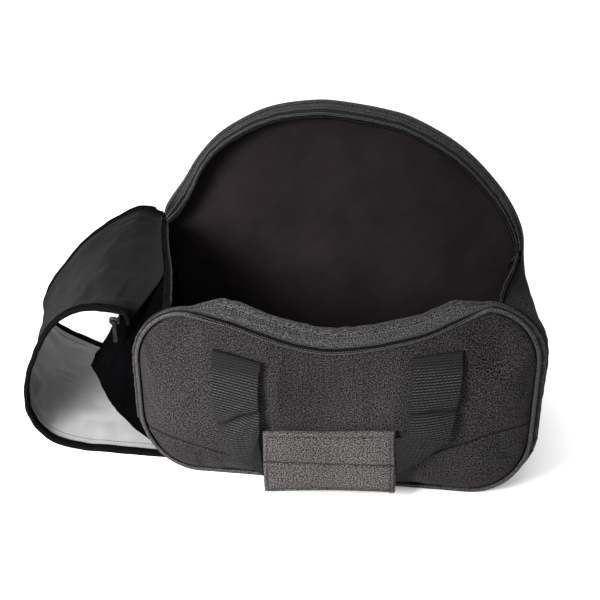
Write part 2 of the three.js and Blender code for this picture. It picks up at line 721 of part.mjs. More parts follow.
// A zip slider beside the tape it runs on, and its pull hanging on the face that looks away from
// the tape. The slider's length runs along X before it is turned.
function addSlider(name, place, away, turn, tilt) {
  const body = new THREE.BoxGeometry(sliderLength, sliderThickness, sliderWidth);
  const slider = addPiece(name + "_slider", body, sliderMetal);
  slider.rotation.set(0, tilt, turn, "ZYX");
  slider.position.copy(place).addScaledVector(away, sliderThickness / 2 + 2 * clearance);
  const tab = new THREE.BoxGeometry(pullWidth, pullThickness, pullLength);
  const pull = addPiece(name + "_pull", tab, sliderMetal);
  pull.rotation.z = turn;
  pull.position.copy(place);
  pull.position.addScaledVector(away, sliderThickness + pullThickness / 2 + 3 * clearance);
  pull.position.z -= pullLength / 2;
}

function buildSliders() {
  const flapEnd = 0.97;
  const flapEdges = [
    { name: "end_zip_front", y: flapFront, ahead: -1, tilt: 0.5 },
    { name: "end_zip_back", y: flapBack, ahead: 1, tilt: 0.2 },
  ];
  for (const { name, y, ahead, tilt } of flapEdges) {
    const place = loopPlace(flapEnd, y);
    place.x -= sliderLength;
    place.z += pullThickness;
    addSlider(name, place, new THREE.Vector3(0, ahead, 0), 0, tilt);
  }
  // The mouth zip's slider stops where the right tape meets the lid's rim, and lies along the tape.
  const tapePlace = (share) => {
    const edge = mouthCorner(1, share);
    const x = edge.x - liningThickness / 2 - tapeWidth * tapeLean;
    return new THREE.Vector3(x, mix(wallFront, wallBack, share), edge.y + tapeWidth / 2);
  };
  const stopShare = 1 - (rimWidth + sliderLength) / baseDepth;
  const stop = tapePlace(stopShare);
  const along = stop.clone().sub(tapePlace(stopShare - sliderLength / baseDepth));
  const away = new THREE.Vector3(-along.y, along.x, 0).normalize();
  addSlider("mouth_zip", stop, away, Math.atan2(along.y, along.x), 0);
}

buildFrontPocket();
buildMouthFront();
buildEnds();
buildLid();
buildLeftLoop();
buildHandles();
buildRearHandle();
buildSliders();

export default bag;
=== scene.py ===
import bpy
import numpy as np
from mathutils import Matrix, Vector


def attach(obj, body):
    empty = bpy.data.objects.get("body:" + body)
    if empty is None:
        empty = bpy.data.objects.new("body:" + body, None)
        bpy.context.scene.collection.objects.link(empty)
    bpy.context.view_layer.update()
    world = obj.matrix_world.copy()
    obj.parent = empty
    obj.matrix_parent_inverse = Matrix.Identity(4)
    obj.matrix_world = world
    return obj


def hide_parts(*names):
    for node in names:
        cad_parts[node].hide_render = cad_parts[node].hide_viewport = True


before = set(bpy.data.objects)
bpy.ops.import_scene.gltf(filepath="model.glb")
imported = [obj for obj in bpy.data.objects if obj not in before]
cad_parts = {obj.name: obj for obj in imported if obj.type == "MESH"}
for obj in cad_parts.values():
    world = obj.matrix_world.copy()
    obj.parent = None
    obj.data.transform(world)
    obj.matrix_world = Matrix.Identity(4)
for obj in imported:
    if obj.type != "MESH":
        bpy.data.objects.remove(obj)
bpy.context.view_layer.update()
print("frame loaded")

# Shapes are worked out in millimetres, +X right, +Y back, +Z up, and written to meshes in metres.
mm = 0.001
pi = np.pi


# Small maths
def mix(a, b, t):  # a at t = 0, b at t = 1
    return a + (b - a) * t


def ease(t, low=0.0, high=1.0):  # 0 below low, 1 above high, an S-curve between them
    s = np.clip((t - low) / (high - low), 0, 1)
    return s * s * (3 - 2 * s)


def through(at, stops, values):
    # Cubic Hermite curve through a table: each slope is taken from the rows on both sides
    stops, values = np.asarray(stops, float), np.asarray(values, float)
    k = np.clip(np.searchsorted(stops, at, side="left") - 1, 0, len(stops) - 2)
    before = np.maximum(np.arange(len(stops)) - 1, 0)
    after = np.minimum(np.arange(len(stops)) + 1, len(stops) - 1)
    slope = (values[after] - values[before]) / (stops[after] - stops[before])
    span = stops[k + 1] - stops[k]
    t = np.clip((at - stops[k]) / span, 0, 1)
    return ((2 * t**3 - 3 * t**2 + 1) * values[k] + (t**3 - 2 * t**2 + t) * span * slope[k]
            + (3 * t**2 - 2 * t**3) * values[k + 1] + (t**3 - t**2) * span * slope[k + 1])


def ripples(a, b, seed, wave, count=8):
    # Sum of sine waves in random directions over two distances, about -1 to 1
    rng = np.random.default_rng(seed)
    total = 0
    for _ in range(count):
        turn, length, start = rng.uniform(0, pi), wave * rng.uniform(0.55, 1.8), rng.uniform(0, 2 * pi)
        total = total + np.sin(2 * pi * (a * np.cos(turn) + b * np.sin(turn)) / length + start)
    return total / np.sqrt(count)


def crease(a, b, start, end, width, lean=0.35):
    # A ridge along a line from start to end: a bell across it, fading towards both ends,
    # with a shallow trough on one side, as a fold of cloth has
    start, end = np.asarray(start, float), np.asarray(end, float)
    along = end - start
    length = np.hypot(*along)
    along = along / length
    da, db = a - start[0], b - start[1]
    s = (da * along[0] + db * along[1]) / length
    off = (db * along[0] - da * along[1]) / width
    fade = ease(s, -0.15, 0.2) * (1 - ease(s, 0.75, 1.1))
    return fade * (np.exp(-off**2) - lean * np.exp(-(off - 1.8) ** 2))


def stack(x, y, z):
    return np.stack(np.broadcast_arrays(x, y, z), -1).astype(float)


def unit(v):
    return v / np.maximum(np.linalg.norm(v, axis=-1, keepdims=True), 1e-9)
def runAlong(line):  # distance from a line's first point to each of its points
    return np.concatenate([[0], np.cumsum(np.linalg.norm(np.diff(line, axis=0), axis=1))])


def takenAt(at, run, values):  # each column of values, looked up at other distances
    return np.stack([np.interp(at, run, values[:, k]) for k in range(values.shape[1])], -1)


def bell(off, width):  # 1 in its middle, falling away on both sides
    return np.exp(-((off / width) ** 2))


def creases(a, b, folds):  # each row holds a crease's rise, start, end and width
    return sum(rise * crease(a, b, start, end, width) for rise, start, end, width in folds)

# Cloth simulation
def drape(surface, size, pinned, slack=0.02, pressure=0.0, gravity=0.0, bend=0.4, cap=5.0, frames=18):
    # Blender's cloth on a coarse grid of a surface: cut a little too large for its seams, pinned by
    # weight along them, and let settle. Gives how far each place moves, capped, smoothly between points
    u, v = grid(*size)
    start = surface(u, v)
    mesh = bpy.data.meshes.new("drape")
    mesh.from_pydata((start.reshape(-1, 3) * mm).tolist(), [], gridFaces(size[1], size[0]).tolist())
    cloth = bpy.data.objects.new("drape", mesh)
    bpy.context.scene.collection.objects.link(cloth)
    held = np.clip(pinned(u, v), 0, 1)
    group = cloth.vertex_groups.new(name="pinned")
    for k, weight in enumerate(held.ravel()):
        group.add([k], float(weight), "REPLACE")
    modifier = cloth.modifiers.new("drape", "CLOTH")
    settings = modifier.settings
    settings.vertex_group_mass = "pinned"
    settings.quality, settings.mass, settings.air_damping = 6, 0.1, 3.0
    settings.tension_stiffness = settings.compression_stiffness = 18
    settings.shear_stiffness, settings.bending_stiffness = 6, bend
    settings.shrink_min = -slack
    settings.use_pressure, settings.uniform_pressure_force = pressure != 0, pressure
    settings.effector_weights.gravity = gravity
    modifier.collision_settings.use_collision = False
    modifier.point_cache.frame_end = frames
    for frameNumber in range(1, frames + 1):
        bpy.context.scene.frame_set(frameNumber)
    result = cloth.evaluated_get(bpy.context.evaluated_depsgraph_get()).to_mesh()
    places = np.empty(len(result.vertices) * 3, np.float32)
    result.vertices.foreach_get("co", places)
    moved = places.reshape(start.shape) / mm - start
    far = np.linalg.norm(moved, axis=-1, keepdims=True)
    moved = np.nan_to_num(moved * cap * np.tanh(far / cap) / np.maximum(far, 1e-6)) * (1 - held[..., None])
    bpy.data.objects.remove(cloth)
    bpy.data.meshes.remove(mesh)
    bpy.context.scene.frame_set(1)
    print("draped, moved at most", round(float(np.linalg.norm(moved, axis=-1).max()), 1), "mm")

    def between(u, v):  # cubic B-spline over the coarse grid's points
        u, v = np.broadcast_arrays(np.asarray(u, float), np.asarray(v, float))
        a, b = np.clip(u, 0, 1) * (size[0] - 1), np.clip(v, 0, 1) * (size[1] - 1)
        i, j = np.floor(a).astype(int), np.floor(b).astype(int)
        weights = lambda t: ((1 - t) ** 3 / 6, (3 * t**3 - 6 * t**2 + 4) / 6,
                             (-3 * t**3 + 3 * t**2 + 3 * t + 1) / 6, t**3 / 6)
        across, up = weights(a - i), weights(b - j)
        total = 0
        for m in range(4):
            for n in range(4):
                column, row = np.clip(i + n - 1, 0, size[0] - 1), np.clip(j + m - 1, 0, size[1] - 1)
                total = total + moved[row, column] * (across[n] * up[m])[..., None]
        return total
    return between


# Meshes
def makeObject(name, places, faces, finish, nodes=(), uv=None, shade=None):
    mesh = bpy.data.meshes.new(name)
    mesh.from_pydata((np.asarray(places) * mm).tolist(), [], [list(f) for f in faces])
    if uv is not None:
        layer = mesh.uv_layers.new(name="cloth")
        corners = np.empty(len(mesh.loops), np.int32)
        mesh.loops.foreach_get("vertex_index", corners)
        layer.data.foreach_set("uv", (np.asarray(uv)[corners] * mm).astype(np.float32).ravel())
    values = np.zeros(len(places)) if shade is None else np.asarray(shade, float).ravel()
    mesh.attributes.new("shade", "FLOAT", "POINT").data.foreach_set("value", values.astype(np.float32))
    mesh.polygons.foreach_set("use_smooth", np.ones(len(mesh.polygons), bool))
    mesh.update()
    piece = bpy.data.objects.new(name, mesh)
    bpy.context.scene.collection.objects.link(piece)
    mesh.materials.append(finish)
    if nodes:
        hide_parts(*nodes)
    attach(piece, "root")
    return piece


def gridFaces(rows, columns, flip=False, closed=False):
    j, i = np.meshgrid(np.arange(rows - 1), np.arange(columns if closed else columns - 1), indexing="ij")
    a = j * columns + i
    b = j * columns + (i + 1) % columns
    quads = np.stack([a, b, b + columns, a + columns], -1).reshape(-1, 4)
    return quads[:, ::-1] if flip else quads


def runLengths(places, own=False):
    # Distances run along both directions of a grid, averaged, so that a weave keeps its scale;
    # own: each column keeps its own run
    across = np.linalg.norm(np.diff(places, axis=1), axis=-1).mean(0)
    up = np.linalg.norm(np.diff(places, axis=0), axis=-1)
    if not own:
        up = up.mean(1, keepdims=True)
    across = np.concatenate([[0], np.cumsum(across)])
    up = np.concatenate([0 * up[:1], np.cumsum(up, axis=0)])
    return np.stack(np.broadcast_arrays(across, up), -1)


def grid(columns, rows):
    return np.meshgrid(np.linspace(0, 1, columns), np.linspace(0, 1, rows))


def skin(name, surface, size, finish, nodes=(), thick=1.2, flip=False, shade=None, sink=0,
         own=False):
    # A cloth skin: surface(u, v) on a grid, given its thickness on the side away from its outer face
    u, v = grid(*size)
    places = surface(u, v)
    if sink:
        places = places + sink * normalsOf(surface, u, v, flip)
    dark = None if shade is None else shade(u, v)
    piece = makeObject(name, places.reshape(-1, 3), gridFaces(size[1], size[0], flip), finish,
                       nodes, runLengths(places, own).reshape(-1, 2), dark)
    if thick:
        solid = piece.modifiers.new("thickness", "SOLIDIFY")
        solid.thickness, solid.offset = thick * mm, -1
    return piece


def normalsOf(surface, u, v, flip=False):
    # Surface normal from small steps both ways, u direction crossed with v direction
    step = 1e-3
    du = surface(np.clip(u + step, 0, 1), v) - surface(np.clip(u - step, 0, 1), v)
    dv = surface(u, np.clip(v + step, 0, 1)) - surface(u, np.clip(v - step, 0, 1))
    return unit(np.cross(du, dv)) * (-1 if flip else 1)


def onSurface(surface, u, v, off=0, flip=False):
    # Points off a surface by a distance, and its normals there
    u, v = np.broadcast_arrays(np.asarray(u, float), np.asarray(v, float))
    normals = normalsOf(surface, u, v, flip)
    return surface(u, v) + normals * np.asarray(off)[..., None], normals


def evenly(line, normals, step):
    # The same line again at an even step, with its normals, or one normal for all of it
    run = runAlong(line)
    at = np.linspace(0, run[-1], max(int(round(run[-1] / step)) + 1, 2))
    return takenAt(at, run, line), unit(takenAt(at, run, np.broadcast_to(normals, line.shape)))


def turned(flat, faces):
    # Turns a closed mesh's faces round where its signed volume, from its quads alone, is negative
    quads = np.asarray([f for f in faces if len(f) == 4])
    a, b, c, d = (flat[quads[:, k]] - flat.mean(0) for k in range(4))
    volume = (np.cross(b, c) * a).sum() + (np.cross(c, d) * a).sum()
    return [list(f)[::-1] for f in faces] if volume < 0 else faces


def sweep(name, line, normals, section, finish, nodes=(), shade=None):
    # A closed section, points (across, up), carried along a line: up is the surface's normal there
    # made square to the line, and across is square to both
    line, normals = np.asarray(line, float), np.asarray(normals, float)
    ahead = unit(np.gradient(line, axis=0))
    up = unit(normals - ahead * (normals * ahead).sum(-1, keepdims=True))
    across = np.cross(ahead, up)
    if section.ndim == 2:
        section = np.broadcast_to(section, (len(line), *section.shape))
    places = line[:, None] + section[..., :1] * across[:, None] + section[..., 1:] * up[:, None]
    count, sides = places.shape[:2]
    faces = gridFaces(count, sides, closed=True).tolist()
    faces += [list(range(sides))[::-1], list(range((count - 1) * sides, count * sides))]
    flat = places.reshape(-1, 3)
    girth = np.linspace(0, runAlong(section[0])[-1], sides)
    uv = np.stack(np.broadcast_arrays(runAlong(line)[:, None], girth), -1).reshape(-1, 2)
    dark = None if shade is None else np.repeat(shade, sides)
    return makeObject(name, flat, turned(flat, faces), finish, nodes, uv, dark)


def roundSection(radius, sides=10):
    turn = np.arange(sides) * 2 * pi / sides
    return radius * np.stack([np.cos(turn), np.sin(turn)], -1)


def strapSection(width, thick, sides=6):
    # A flat strap's section: two round ends joined by straight sides
    turn = np.linspace(-pi / 2, pi / 2, sides)
    across, up = width / 2 - thick / 2 * (1 - np.cos(turn)), thick / 2 * np.sin(turn)
    return np.stack([np.concatenate([across, -across]), np.concatenate([up, -up])], -1)


def cordAlong(name, surface, u, row, off, section, finish, flip=False, shade=None):
    # A cord or tape laid along one row of a surface. Gives its line and normals
    line, normals = onSurface(surface, u, row, off, flip)
    sweep(name, line, normals, section, finish, shade=shade)
    return line, normals


def beads(name, parts, finish):
    # Many small rounded bars in one mesh, such as stitches or zip teeth: five rings of six points, each
    # ring as wide as its girth. Each part is (centres, long directions, up directions, length, width, height)
    ring = np.array([-1, -0.7, 0, 0.7, 1])
    girth = np.array([0.35, 0.9, 1, 0.9, 0.35])
    turn = np.arange(6) * pi / 3
    bead = np.stack([np.repeat(ring, 6), np.outer(girth, np.cos(turn)).ravel(),
                     np.outer(girth, np.sin(turn)).ravel()], -1)
    caps = [[3, 2, 1, 0], [5, 4, 3, 0], [24, 25, 26, 27], [24, 27, 28, 29]]
    template = np.asarray(turned(bead, gridFaces(5, 6, closed=True).tolist() + caps))
    allPlaces, allFaces, start = [], [], 0
    for centres, longs, ups, length, width, height in parts:
        longs = unit(longs)
        ups = unit(ups - longs * (ups * longs).sum(-1, keepdims=True))
        axes = np.stack([longs, np.cross(ups, longs), ups], 1)
        places = centres[:, None] + bead * (length / 2, width / 2, height / 2) @ axes
        starts = start + np.arange(len(centres)) * len(bead)
        allPlaces.append(places.reshape(-1, 3))
        allFaces.append((template + starts[:, None, None]).reshape(-1, 4))
        start += len(centres) * len(bead)
    return makeObject(name, np.concatenate(allPlaces), np.concatenate(allFaces), finish)


def stitchLine(surface, u, v, off=0.15, flip=False, pitch=3.6, length=2.7, width=0.7, height=0.5):
    # A row of stitches along a line on a surface
    line, normals = evenly(*onSurface(surface, u, v, off, flip), pitch)
    return line, np.gradient(line, axis=0), normals, length, width, height


def sew(thread, surface, u, *rows, **look):
    for row in rows:
        thread.append(stitchLine(surface, u, row, **look))


def teethLine(line, normals, pitch=2.1, length=4.2, width=1.3, height=1.9):
    # Coil of a zip: one rounded bar across the line for each turn
    line, normals = evenly(line, normals, pitch)
    across = np.cross(unit(np.gradient(line, axis=0)), normals)
    return line, across, normals, length, width, height


# Materials
def rgba(value):  # a grey or a colour, with full alpha
    return (*value, 1) if hasattr(value, "__len__") else (value, value, value, 1)


class Nodes:
    def __init__(self, name, roughness, specular, sheen=0.0, metallic=0.0):
        self.material = bpy.data.materials.new(name)
        self.material.use_nodes = True
        self.tree = self.material.node_tree
        self.shader = self.tree.nodes["Principled BSDF"]
        self.shader.inputs["Roughness"].default_value = roughness
        self.shader.inputs["Specular IOR Level"].default_value = specular
        self.shader.inputs["Metallic"].default_value = metallic
        self.shader.inputs["Sheen Weight"].default_value = sheen
        self.shader.inputs["Sheen Roughness"].default_value = 0.45

    def add(self, kind, links=(), **values):
        node = self.tree.nodes.new("ShaderNode" + kind)
        for key, value in values.items():
            setattr(node, key, value)
        for socket, source in dict(links).items():
            self.tree.links.new(source, node.inputs[socket])
        return node

    def feed(self, socket, value):  # another node's output, or a value of its own
        if hasattr(value, "links"):
            self.tree.links.new(value, socket)
        else:
            socket.default_value = value

    def finish(self, colour, rough, normal):
        for socket, source in (("Base Color", colour), ("Roughness", rough), ("Normal", normal)):
            self.tree.links.new(source, self.shader.inputs[socket])
        return self.material

    def cloth(self):  # the piece's own UV map, in metres
        return self.add("UVMap", uv_map="cloth").outputs["UV"]

    def place(self):
        return self.add("TexCoord").outputs["Object"]

    def parts(self, source):
        return self.add("SeparateXYZ", {"Vector": source}).outputs

    def scaled(self, source, x, y, z=1.0):
        node = self.add("Mapping", {"Vector": source})
        node.inputs["Scale"].default_value = (x, y, z)
        return node.outputs["Vector"]

    def noise(self, source, scale, detail=2.0, rough=0.5, distortion=0.0):
        node = self.add("TexNoise", {"Vector": source})
        settings = {"Scale": scale, "Detail": detail, "Roughness": rough, "Distortion": distortion}
        for socket, value in settings.items():
            node.inputs[socket].default_value = value
        return node.outputs["Fac"]

    def ramp(self, source, stops):
        node = self.add("ValToRGB", {"Fac": source})
        band = node.color_ramp.elements
        while len(band) < len(stops):
            band.new(0.5)
        for k, (at, colour) in enumerate(stops):
            band[k].position = at
            band[k].color = rgba(colour)
        return node.outputs["Color"]

    def maths(self, operation, *values):
        node = self.add("Math", operation=operation)
        for k, value in enumerate(values):
            self.feed(node.inputs[k], value)
        return node.outputs[0]

    def blendColour(self, kind, amount, a, b):
        node = self.add("Mix", data_type="RGBA", blend_type=kind)
        for socket, value in ((0, amount), (6, a), (7, b)):
            self.feed(node.inputs[socket], rgba(value) if isinstance(value, tuple) else value)
        return node.outputs[2]

    def wave(self, source, pitch):  # sine of a distance, one turn for each pitch in millimetres
        return self.maths("SINE", self.maths("MULTIPLY", source, 2 * pi / (pitch * mm)))

    def weave(self, source, pitchAcross, pitchUp):
        # Plain weave as height: threads cross over and under, sine times sine, pitches in mm
        parts = self.parts(source)
        across, up = self.wave(parts["X"], 2 * pitchAcross), self.wave(parts["Y"], 2 * pitchUp)
        return self.maths("MULTIPLY_ADD", self.maths("MULTIPLY", across, up), 0.5, 0.5)

    def bump(self, height, distance, strength=1.0, below=None):
        node = self.add("Bump", {"Height": height})
        node.inputs["Distance"].default_value = distance * mm
        node.inputs["Strength"].default_value = strength
        if below is not None:
            self.tree.links.new(below, node.inputs["Normal"])
        return node.outputs["Normal"]

    def shaded(self, colour, dark=(0.004, 0.004, 0.004)):
        # Darkens towards seams and folds by the piece's own shade attribute
        shade = self.add("Attribute", attribute_name="shade").outputs["Fac"]
        return self.blendColour("MIX", shade, colour, dark)


def heatherCloth(name, dark, middle, light, tone=(0.8, 1.2)):
    # Coarse polyester: dark and light yarns mottled together, short slubs, and a plain weave
    n = Nodes(name, 0.85, sheen=0.02, specular=0.0)
    cloth = n.cloth()
    yarns = n.noise(n.scaled(cloth, 1120, 1260), 1.0, 3.0, 0.8)
    slubs = n.noise(n.scaled(cloth, 560, 690), 1.0, 2.0, 0.7)
    fleck = n.maths("MULTIPLY_ADD", slubs, 0.35, n.maths("MULTIPLY", yarns, 0.65))
    colour = n.ramp(fleck, [(0.425, dark), (0.5, middle), (0.575, light)])
    worn = n.ramp(n.noise(n.place(), 9.0, 3.0, 0.55), [(0.3, tone[0]), (0.7, tone[1])])
    colour = n.blendColour("MULTIPLY", 1.0, colour, worn)
    rough = n.ramp(yarns, [(0.3, 0.74), (0.7, 0.92)])
    fine = n.bump(n.weave(cloth, 0.95, 0.85), 0.16, 0.6)
    return n.finish(n.shaded(colour), rough, n.bump(fleck, 0.5, 0.75, fine))


def liningCloth(name, dark, light):
    # Thin lining: fine plain weave and soft creases
    n = Nodes(name, 0.95, specular=0.0)
    cloth, place = n.cloth(), n.place()
    yarns = n.noise(n.scaled(cloth, 900, 500), 1.0, 2.0, 0.6)
    tone = n.noise(place, 12.0, 4.0, 0.6)
    mottle = n.maths("MULTIPLY_ADD", yarns, 0.5, n.maths("MULTIPLY", tone, 0.5))
    rough = n.ramp(tone, [(0.3, 0.78), (0.7, 0.92)])
    folds = n.bump(n.noise(n.scaled(place, 30, 30, 14), 1.0, 4.0, 0.55, 0.6), 1.2, 0.5)
    normal = n.bump(n.weave(cloth, 0.6, 0.6), 0.08, 0.5, folds)
    return n.finish(n.shaded(n.ramp(mottle, [(0.35, dark), (0.65, light)])), rough, normal)


def silverCloth(name, dull, middle, bright):
    # Coated cloth: pale grey film, its weave showing through, faint creases and scuffs
    n = Nodes(name, 0.55, specular=0.3)
    cloth, place = n.cloth(), n.place()
    stain = n.noise(place, 16.0, 5.0, 0.6, 0.3)
    colour = n.ramp(stain, [(0.25, dull), (0.55, middle), (0.8, bright)])
    grain = n.noise(n.scaled(cloth, 700, 700), 1.0, 2.0, 0.6)
    colour = n.blendColour("MULTIPLY", 0.6, colour, n.ramp(grain, [(0.35, 0.86), (0.65, 1.08)]))
    rough = n.ramp(stain, [(0.3, 0.62), (0.7, 0.45)])
    cloud = n.noise(n.scaled(place, 22, 22, 22), 1.0, 3.0, 0.5, 0.8)
    fold = n.maths("ABSOLUTE", n.maths("SUBTRACT", cloud, 0.5))
    folds = n.bump(n.ramp(fold, [(0.0, 1.0), (0.09, 0.0)]), 0.35, 0.3)
    normal = n.bump(n.weave(cloth, 0.8, 0.8), 0.07, 0.6, folds)
    return n.finish(n.shaded(colour, (0.02, 0.02, 0.02)), rough, normal)


def ribbedStrap(name, dark, light, rib=3.0):
    # Webbing: slightly slanted ribs across the strap, broken into dashes, with pale flecks painted on the rib
    # crowns as highlights
    n = Nodes(name, 0.6, specular=0.08)
    cloth = n.cloth()
    parts = n.parts(cloth)
    slant = n.maths("MULTIPLY_ADD", parts["X"], 0.3, parts["Y"])
    dashes = n.wave(n.maths("SUBTRACT", parts["X"], slant), 1.4 * rib)
    height = n.maths("MULTIPLY_ADD", n.maths("MULTIPLY_ADD", dashes, 0.45, n.wave(slant, rib)), 0.34, 0.5)
    yarns = n.noise(n.scaled(cloth, 900, 900), 1.0, 2.0, 0.7)
    highlightSpecks = n.maths("MULTIPLY", height, yarns)
    # painted highlight: the brightest stop whitens the high yarns on the rib crowns
    colour = n.ramp(highlightSpecks, [(0.1, dark), (0.42, light), (0.62, tuple(4.5 * c for c in light))])
    rough = n.ramp(height, [(0.0, 0.85), (1.0, 0.6)])
    return n.finish(n.shaded(colour), rough, n.bump(height, 0.55, 0.9, n.bump(yarns, 0.2, 0.6)))


def bindingCloth(name, dark, light, rib=1.3, rough=0.6, gloss=0.03):
    # Narrow woven tape and piping: fine ribs across it and a soft gloss on its crown
    n = Nodes(name, rough, specular=gloss)
    cloth = n.cloth()
    ribs = n.maths("MULTIPLY_ADD", n.wave(n.parts(cloth)["X"], rib), 0.5, 0.5)
    yarns = n.noise(n.scaled(cloth, 600, 800), 1.0, 3.0, 0.7)
    colour = n.ramp(yarns, [(0.42, dark), (0.6, light)])
    uneven = n.ramp(yarns, [(0.3, rough - 0.1), (0.7, rough + 0.15)])
    return n.finish(n.shaded(colour), uneven, n.bump(ribs, 0.16, 0.7, n.bump(yarns, 0.25, 0.6)))


def coilNylon(name, dark, light):
    # Zip coil: smooth black nylon, a little dust between its turns
    n = Nodes(name, 0.5, specular=0.12)
    dust = n.noise(n.place(), 420.0, 2.0, 0.6)
    rough = n.ramp(dust, [(0.3, 0.3), (0.8, 0.6)])
    return n.finish(n.ramp(dust, [(0.4, dark), (0.75, light)]), rough, n.bump(dust, 0.1, 0.4))


def sewingThread(name, dark, light):
    # Twisted thread: plies of two tones with a soft shine
    n = Nodes(name, 0.55, sheen=0.05, specular=0.2)
    ply = n.noise(n.scaled(n.place(), 1500, 1500, 1500), 1.0, 1.0, 0.5)
    rough = n.ramp(ply, [(0.3, 0.45), (0.7, 0.7)])
    return n.finish(n.ramp(ply, [(0.35, dark), (0.7, light)]), rough, n.bump(ply, 0.15, 0.6))


def darkNickel(name, dark, light):
    # Plated slider: dark nickel, brighter where it is rubbed, fine scratches
    n = Nodes(name, 0.3, specular=0.5, metallic=1.0)
    place = n.place()
    rubbed = n.noise(place, 160.0, 4.0, 0.6)
    scratches = n.noise(n.scaled(place, 300, 300, 3000), 1.0, 2.0, 0.5)
    rough = n.ramp(scratches, [(0.3, 0.22), (0.7, 0.45)])
    return n.finish(n.ramp(rubbed, [(0.35, dark), (0.7, light)]), rough, n.bump(scratches, 0.05, 0.3))


clothFront = heatherCloth("heather_front", (0.0002, 0.0002, 0.0004), (0.0044, 0.004, 0.0045),
                          (0.053, 0.0488, 0.05))
# painted light: the panel's heather made lighter for the grip, which catches more light than the panel round it
clothGripLit = heatherCloth("heather_grip_lit", (0.0008, 0.0008, 0.001), (0.0145, 0.0135, 0.0141),
                         (0.138, 0.128, 0.128))
clothOuter = heatherCloth("heather_outer", (0.0001, 0.0001, 0.0001), (0.0026, 0.0026, 0.0027),
                          (0.034, 0.0335, 0.034), tone=(0.5, 1.45))
clothBand = heatherCloth("heather_band", (0.0008, 0.0008, 0.0008), (0.0125, 0.0122, 0.0127),
                         (0.09, 0.088, 0.09))
liningBlack = liningCloth("lining_black", (0.0001, 0.0001, 0.0002), (0.0016, 0.0016, 0.0018))
liningBrown = liningCloth("lining_brown", (0.006, 0.0048, 0.0053), (0.0125, 0.0103, 0.0112))
silverInner = silverCloth("silver_coating", (0.2, 0.203, 0.204), (0.25, 0.255, 0.263), (0.3, 0.307, 0.318))
strapCloth = ribbedStrap("webbing", (0.0001, 0.0001, 0.0002), (0.0145, 0.0145, 0.0155))
bindingBlack = bindingCloth("binding", (0.0006, 0.0006, 0.0006), (0.0052, 0.0052, 0.0055), gloss=0.0)
pipingCloth = bindingCloth("piping", (0.003, 0.003, 0.003), (0.062, 0.06, 0.059), rib=1.6)
tapeCloth = bindingCloth("zip_tape", (0.0008, 0.0008, 0.0009), (0.006, 0.006, 0.0063), rib=1.0,
                         rough=0.7, gloss=0.0)
cordGrey = bindingCloth("cord_grey", (0.002, 0.002, 0.0022), (0.044, 0.044, 0.045), rib=1.6)
coilBlack = coilNylon("coil_nylon", (0.0008, 0.0008, 0.001), (0.005, 0.005, 0.0055))
threadDark = sewingThread("thread_dark", (0.001, 0.001, 0.001), (0.008, 0.008, 0.0085))
threadPale = sewingThread("thread_pale", (0.05, 0.05, 0.053), (0.17, 0.17, 0.176))
nickel = darkNickel("dark_nickel", (0.003, 0.003, 0.0035), (0.025, 0.025, 0.026))
print("materials made")

# The bag's sizes
body = {
    "width": 418, "depth": 216,  # end to end, front wall to back panel
    "bottomCorner": (58, 70), "topCorner": (50, 60),  # rounded corners, across and down
    "leftShoulder": 197, "rightShoulder": 224, "zipDip": 162,  # heights of the pocket's zip
    "floorGap": 5.1, "floorTop": 3.9, "gap": 0.3, "leanLeft": 16,  # its back stands to the left
}
bodyHalf = body["width"] / 2
frontEdge, backEdge = -body["depth"] / 2, body["depth"] / 2

pocket = {
    "inset": 8, "foot": 9, "head": 21, "belly": 25,  # front panel in from the sides, forward, and full
    "shoulderFall": 5, "piping": 2.1, "stripSwell": 3.4,
    "zipStops": [-1, -0.72, -0.4, -0.2, -0.04, 0.24, 0.43, 0.62, 0.8, 1],
    "zipRise": [1, 0.74, 0.27, 0.06, 0, 0.11, 0.25, 0.43, 0.7, 1],
    # lower seam across the panel, x and height
    "seamX": [-201, -163, -125, -90, -50, 0, 50, 90, 113, 155, 172, 201],
    "seamZ": [56, 50, 42, 36, 33, 36, 47, 59, 67, 84, 89, 94],
    "stripRun": 1050,  # length of the side strip, for its puckers
    # folds of the slack cloth: rise, start, end, width
    "folds": [(2.6, (108, 205), (196, 120), 13), (2.0, (196, 190), (150, 120), 10),
              (1.6, (-190, 150), (-150, 90), 14), (-1.6, (-45, 60), (30, 150), 22),
              (1.5, (60, 150), (190, 150), 12), (-1.4, (-75, 150), (-60, 60), 10),
              (1.2, (140, 60), (200, 70), 9), (1.1, (-150, 30), (-40, 18), 7)],
}
panelHalf = bodyHalf - pocket["inset"]
zipHalf = panelHalf - body["topCorner"][0]
baseHalf = panelHalf - body["bottomCorner"][0]
wallFront, wallBack = frontEdge + 2 + body["gap"], backEdge - body["gap"]


def cornerDrop(past, width, height):  # quarter ellipse
    share = np.clip(past / width, 0, 1)
    return height * (1 - np.sqrt(1 - share**2))


def zipHeight(x):
    at = np.clip(x / zipHalf, -1, 1)
    shoulder = np.where(at < -0.04, body["leftShoulder"], body["rightShoulder"])
    return body["zipDip"] + through(at, pocket["zipStops"], pocket["zipRise"]) * (shoulder - body["zipDip"])


def panelTop(x):
    return zipHeight(x) - cornerDrop(np.abs(x) - zipHalf, *body["topCorner"])


def panelBottom(x):
    return body["floorGap"] + cornerDrop(np.abs(x) - baseHalf, *body["bottomCorner"])


def bodyBottom(x):
    width, height = body["bottomCorner"]
    return body["floorGap"] + cornerDrop(np.abs(x) - baseHalf, width + pocket["inset"], height)


def panelEdgeDepth(z):  # leans forward from its foot to its zip
    return frontEdge - mix(pocket["foot"], pocket["head"], z / body["rightShoulder"])


def panelDepth(x, z):  # the edge's depth and a belly, fullest below the middle
    low, high = panelBottom(x), panelTop(x)
    up = np.clip((z - low) / (high - low), 0, 1)
    inward = 1 - (np.abs(x) / panelHalf) ** 4
    return panelEdgeDepth(z) - pocket["belly"] * inward * np.sin(pi * up**0.7)


def columnAt(u, half):  # columns stand closer together towards both sides
    return half * np.sin((u - 0.5) * pi)


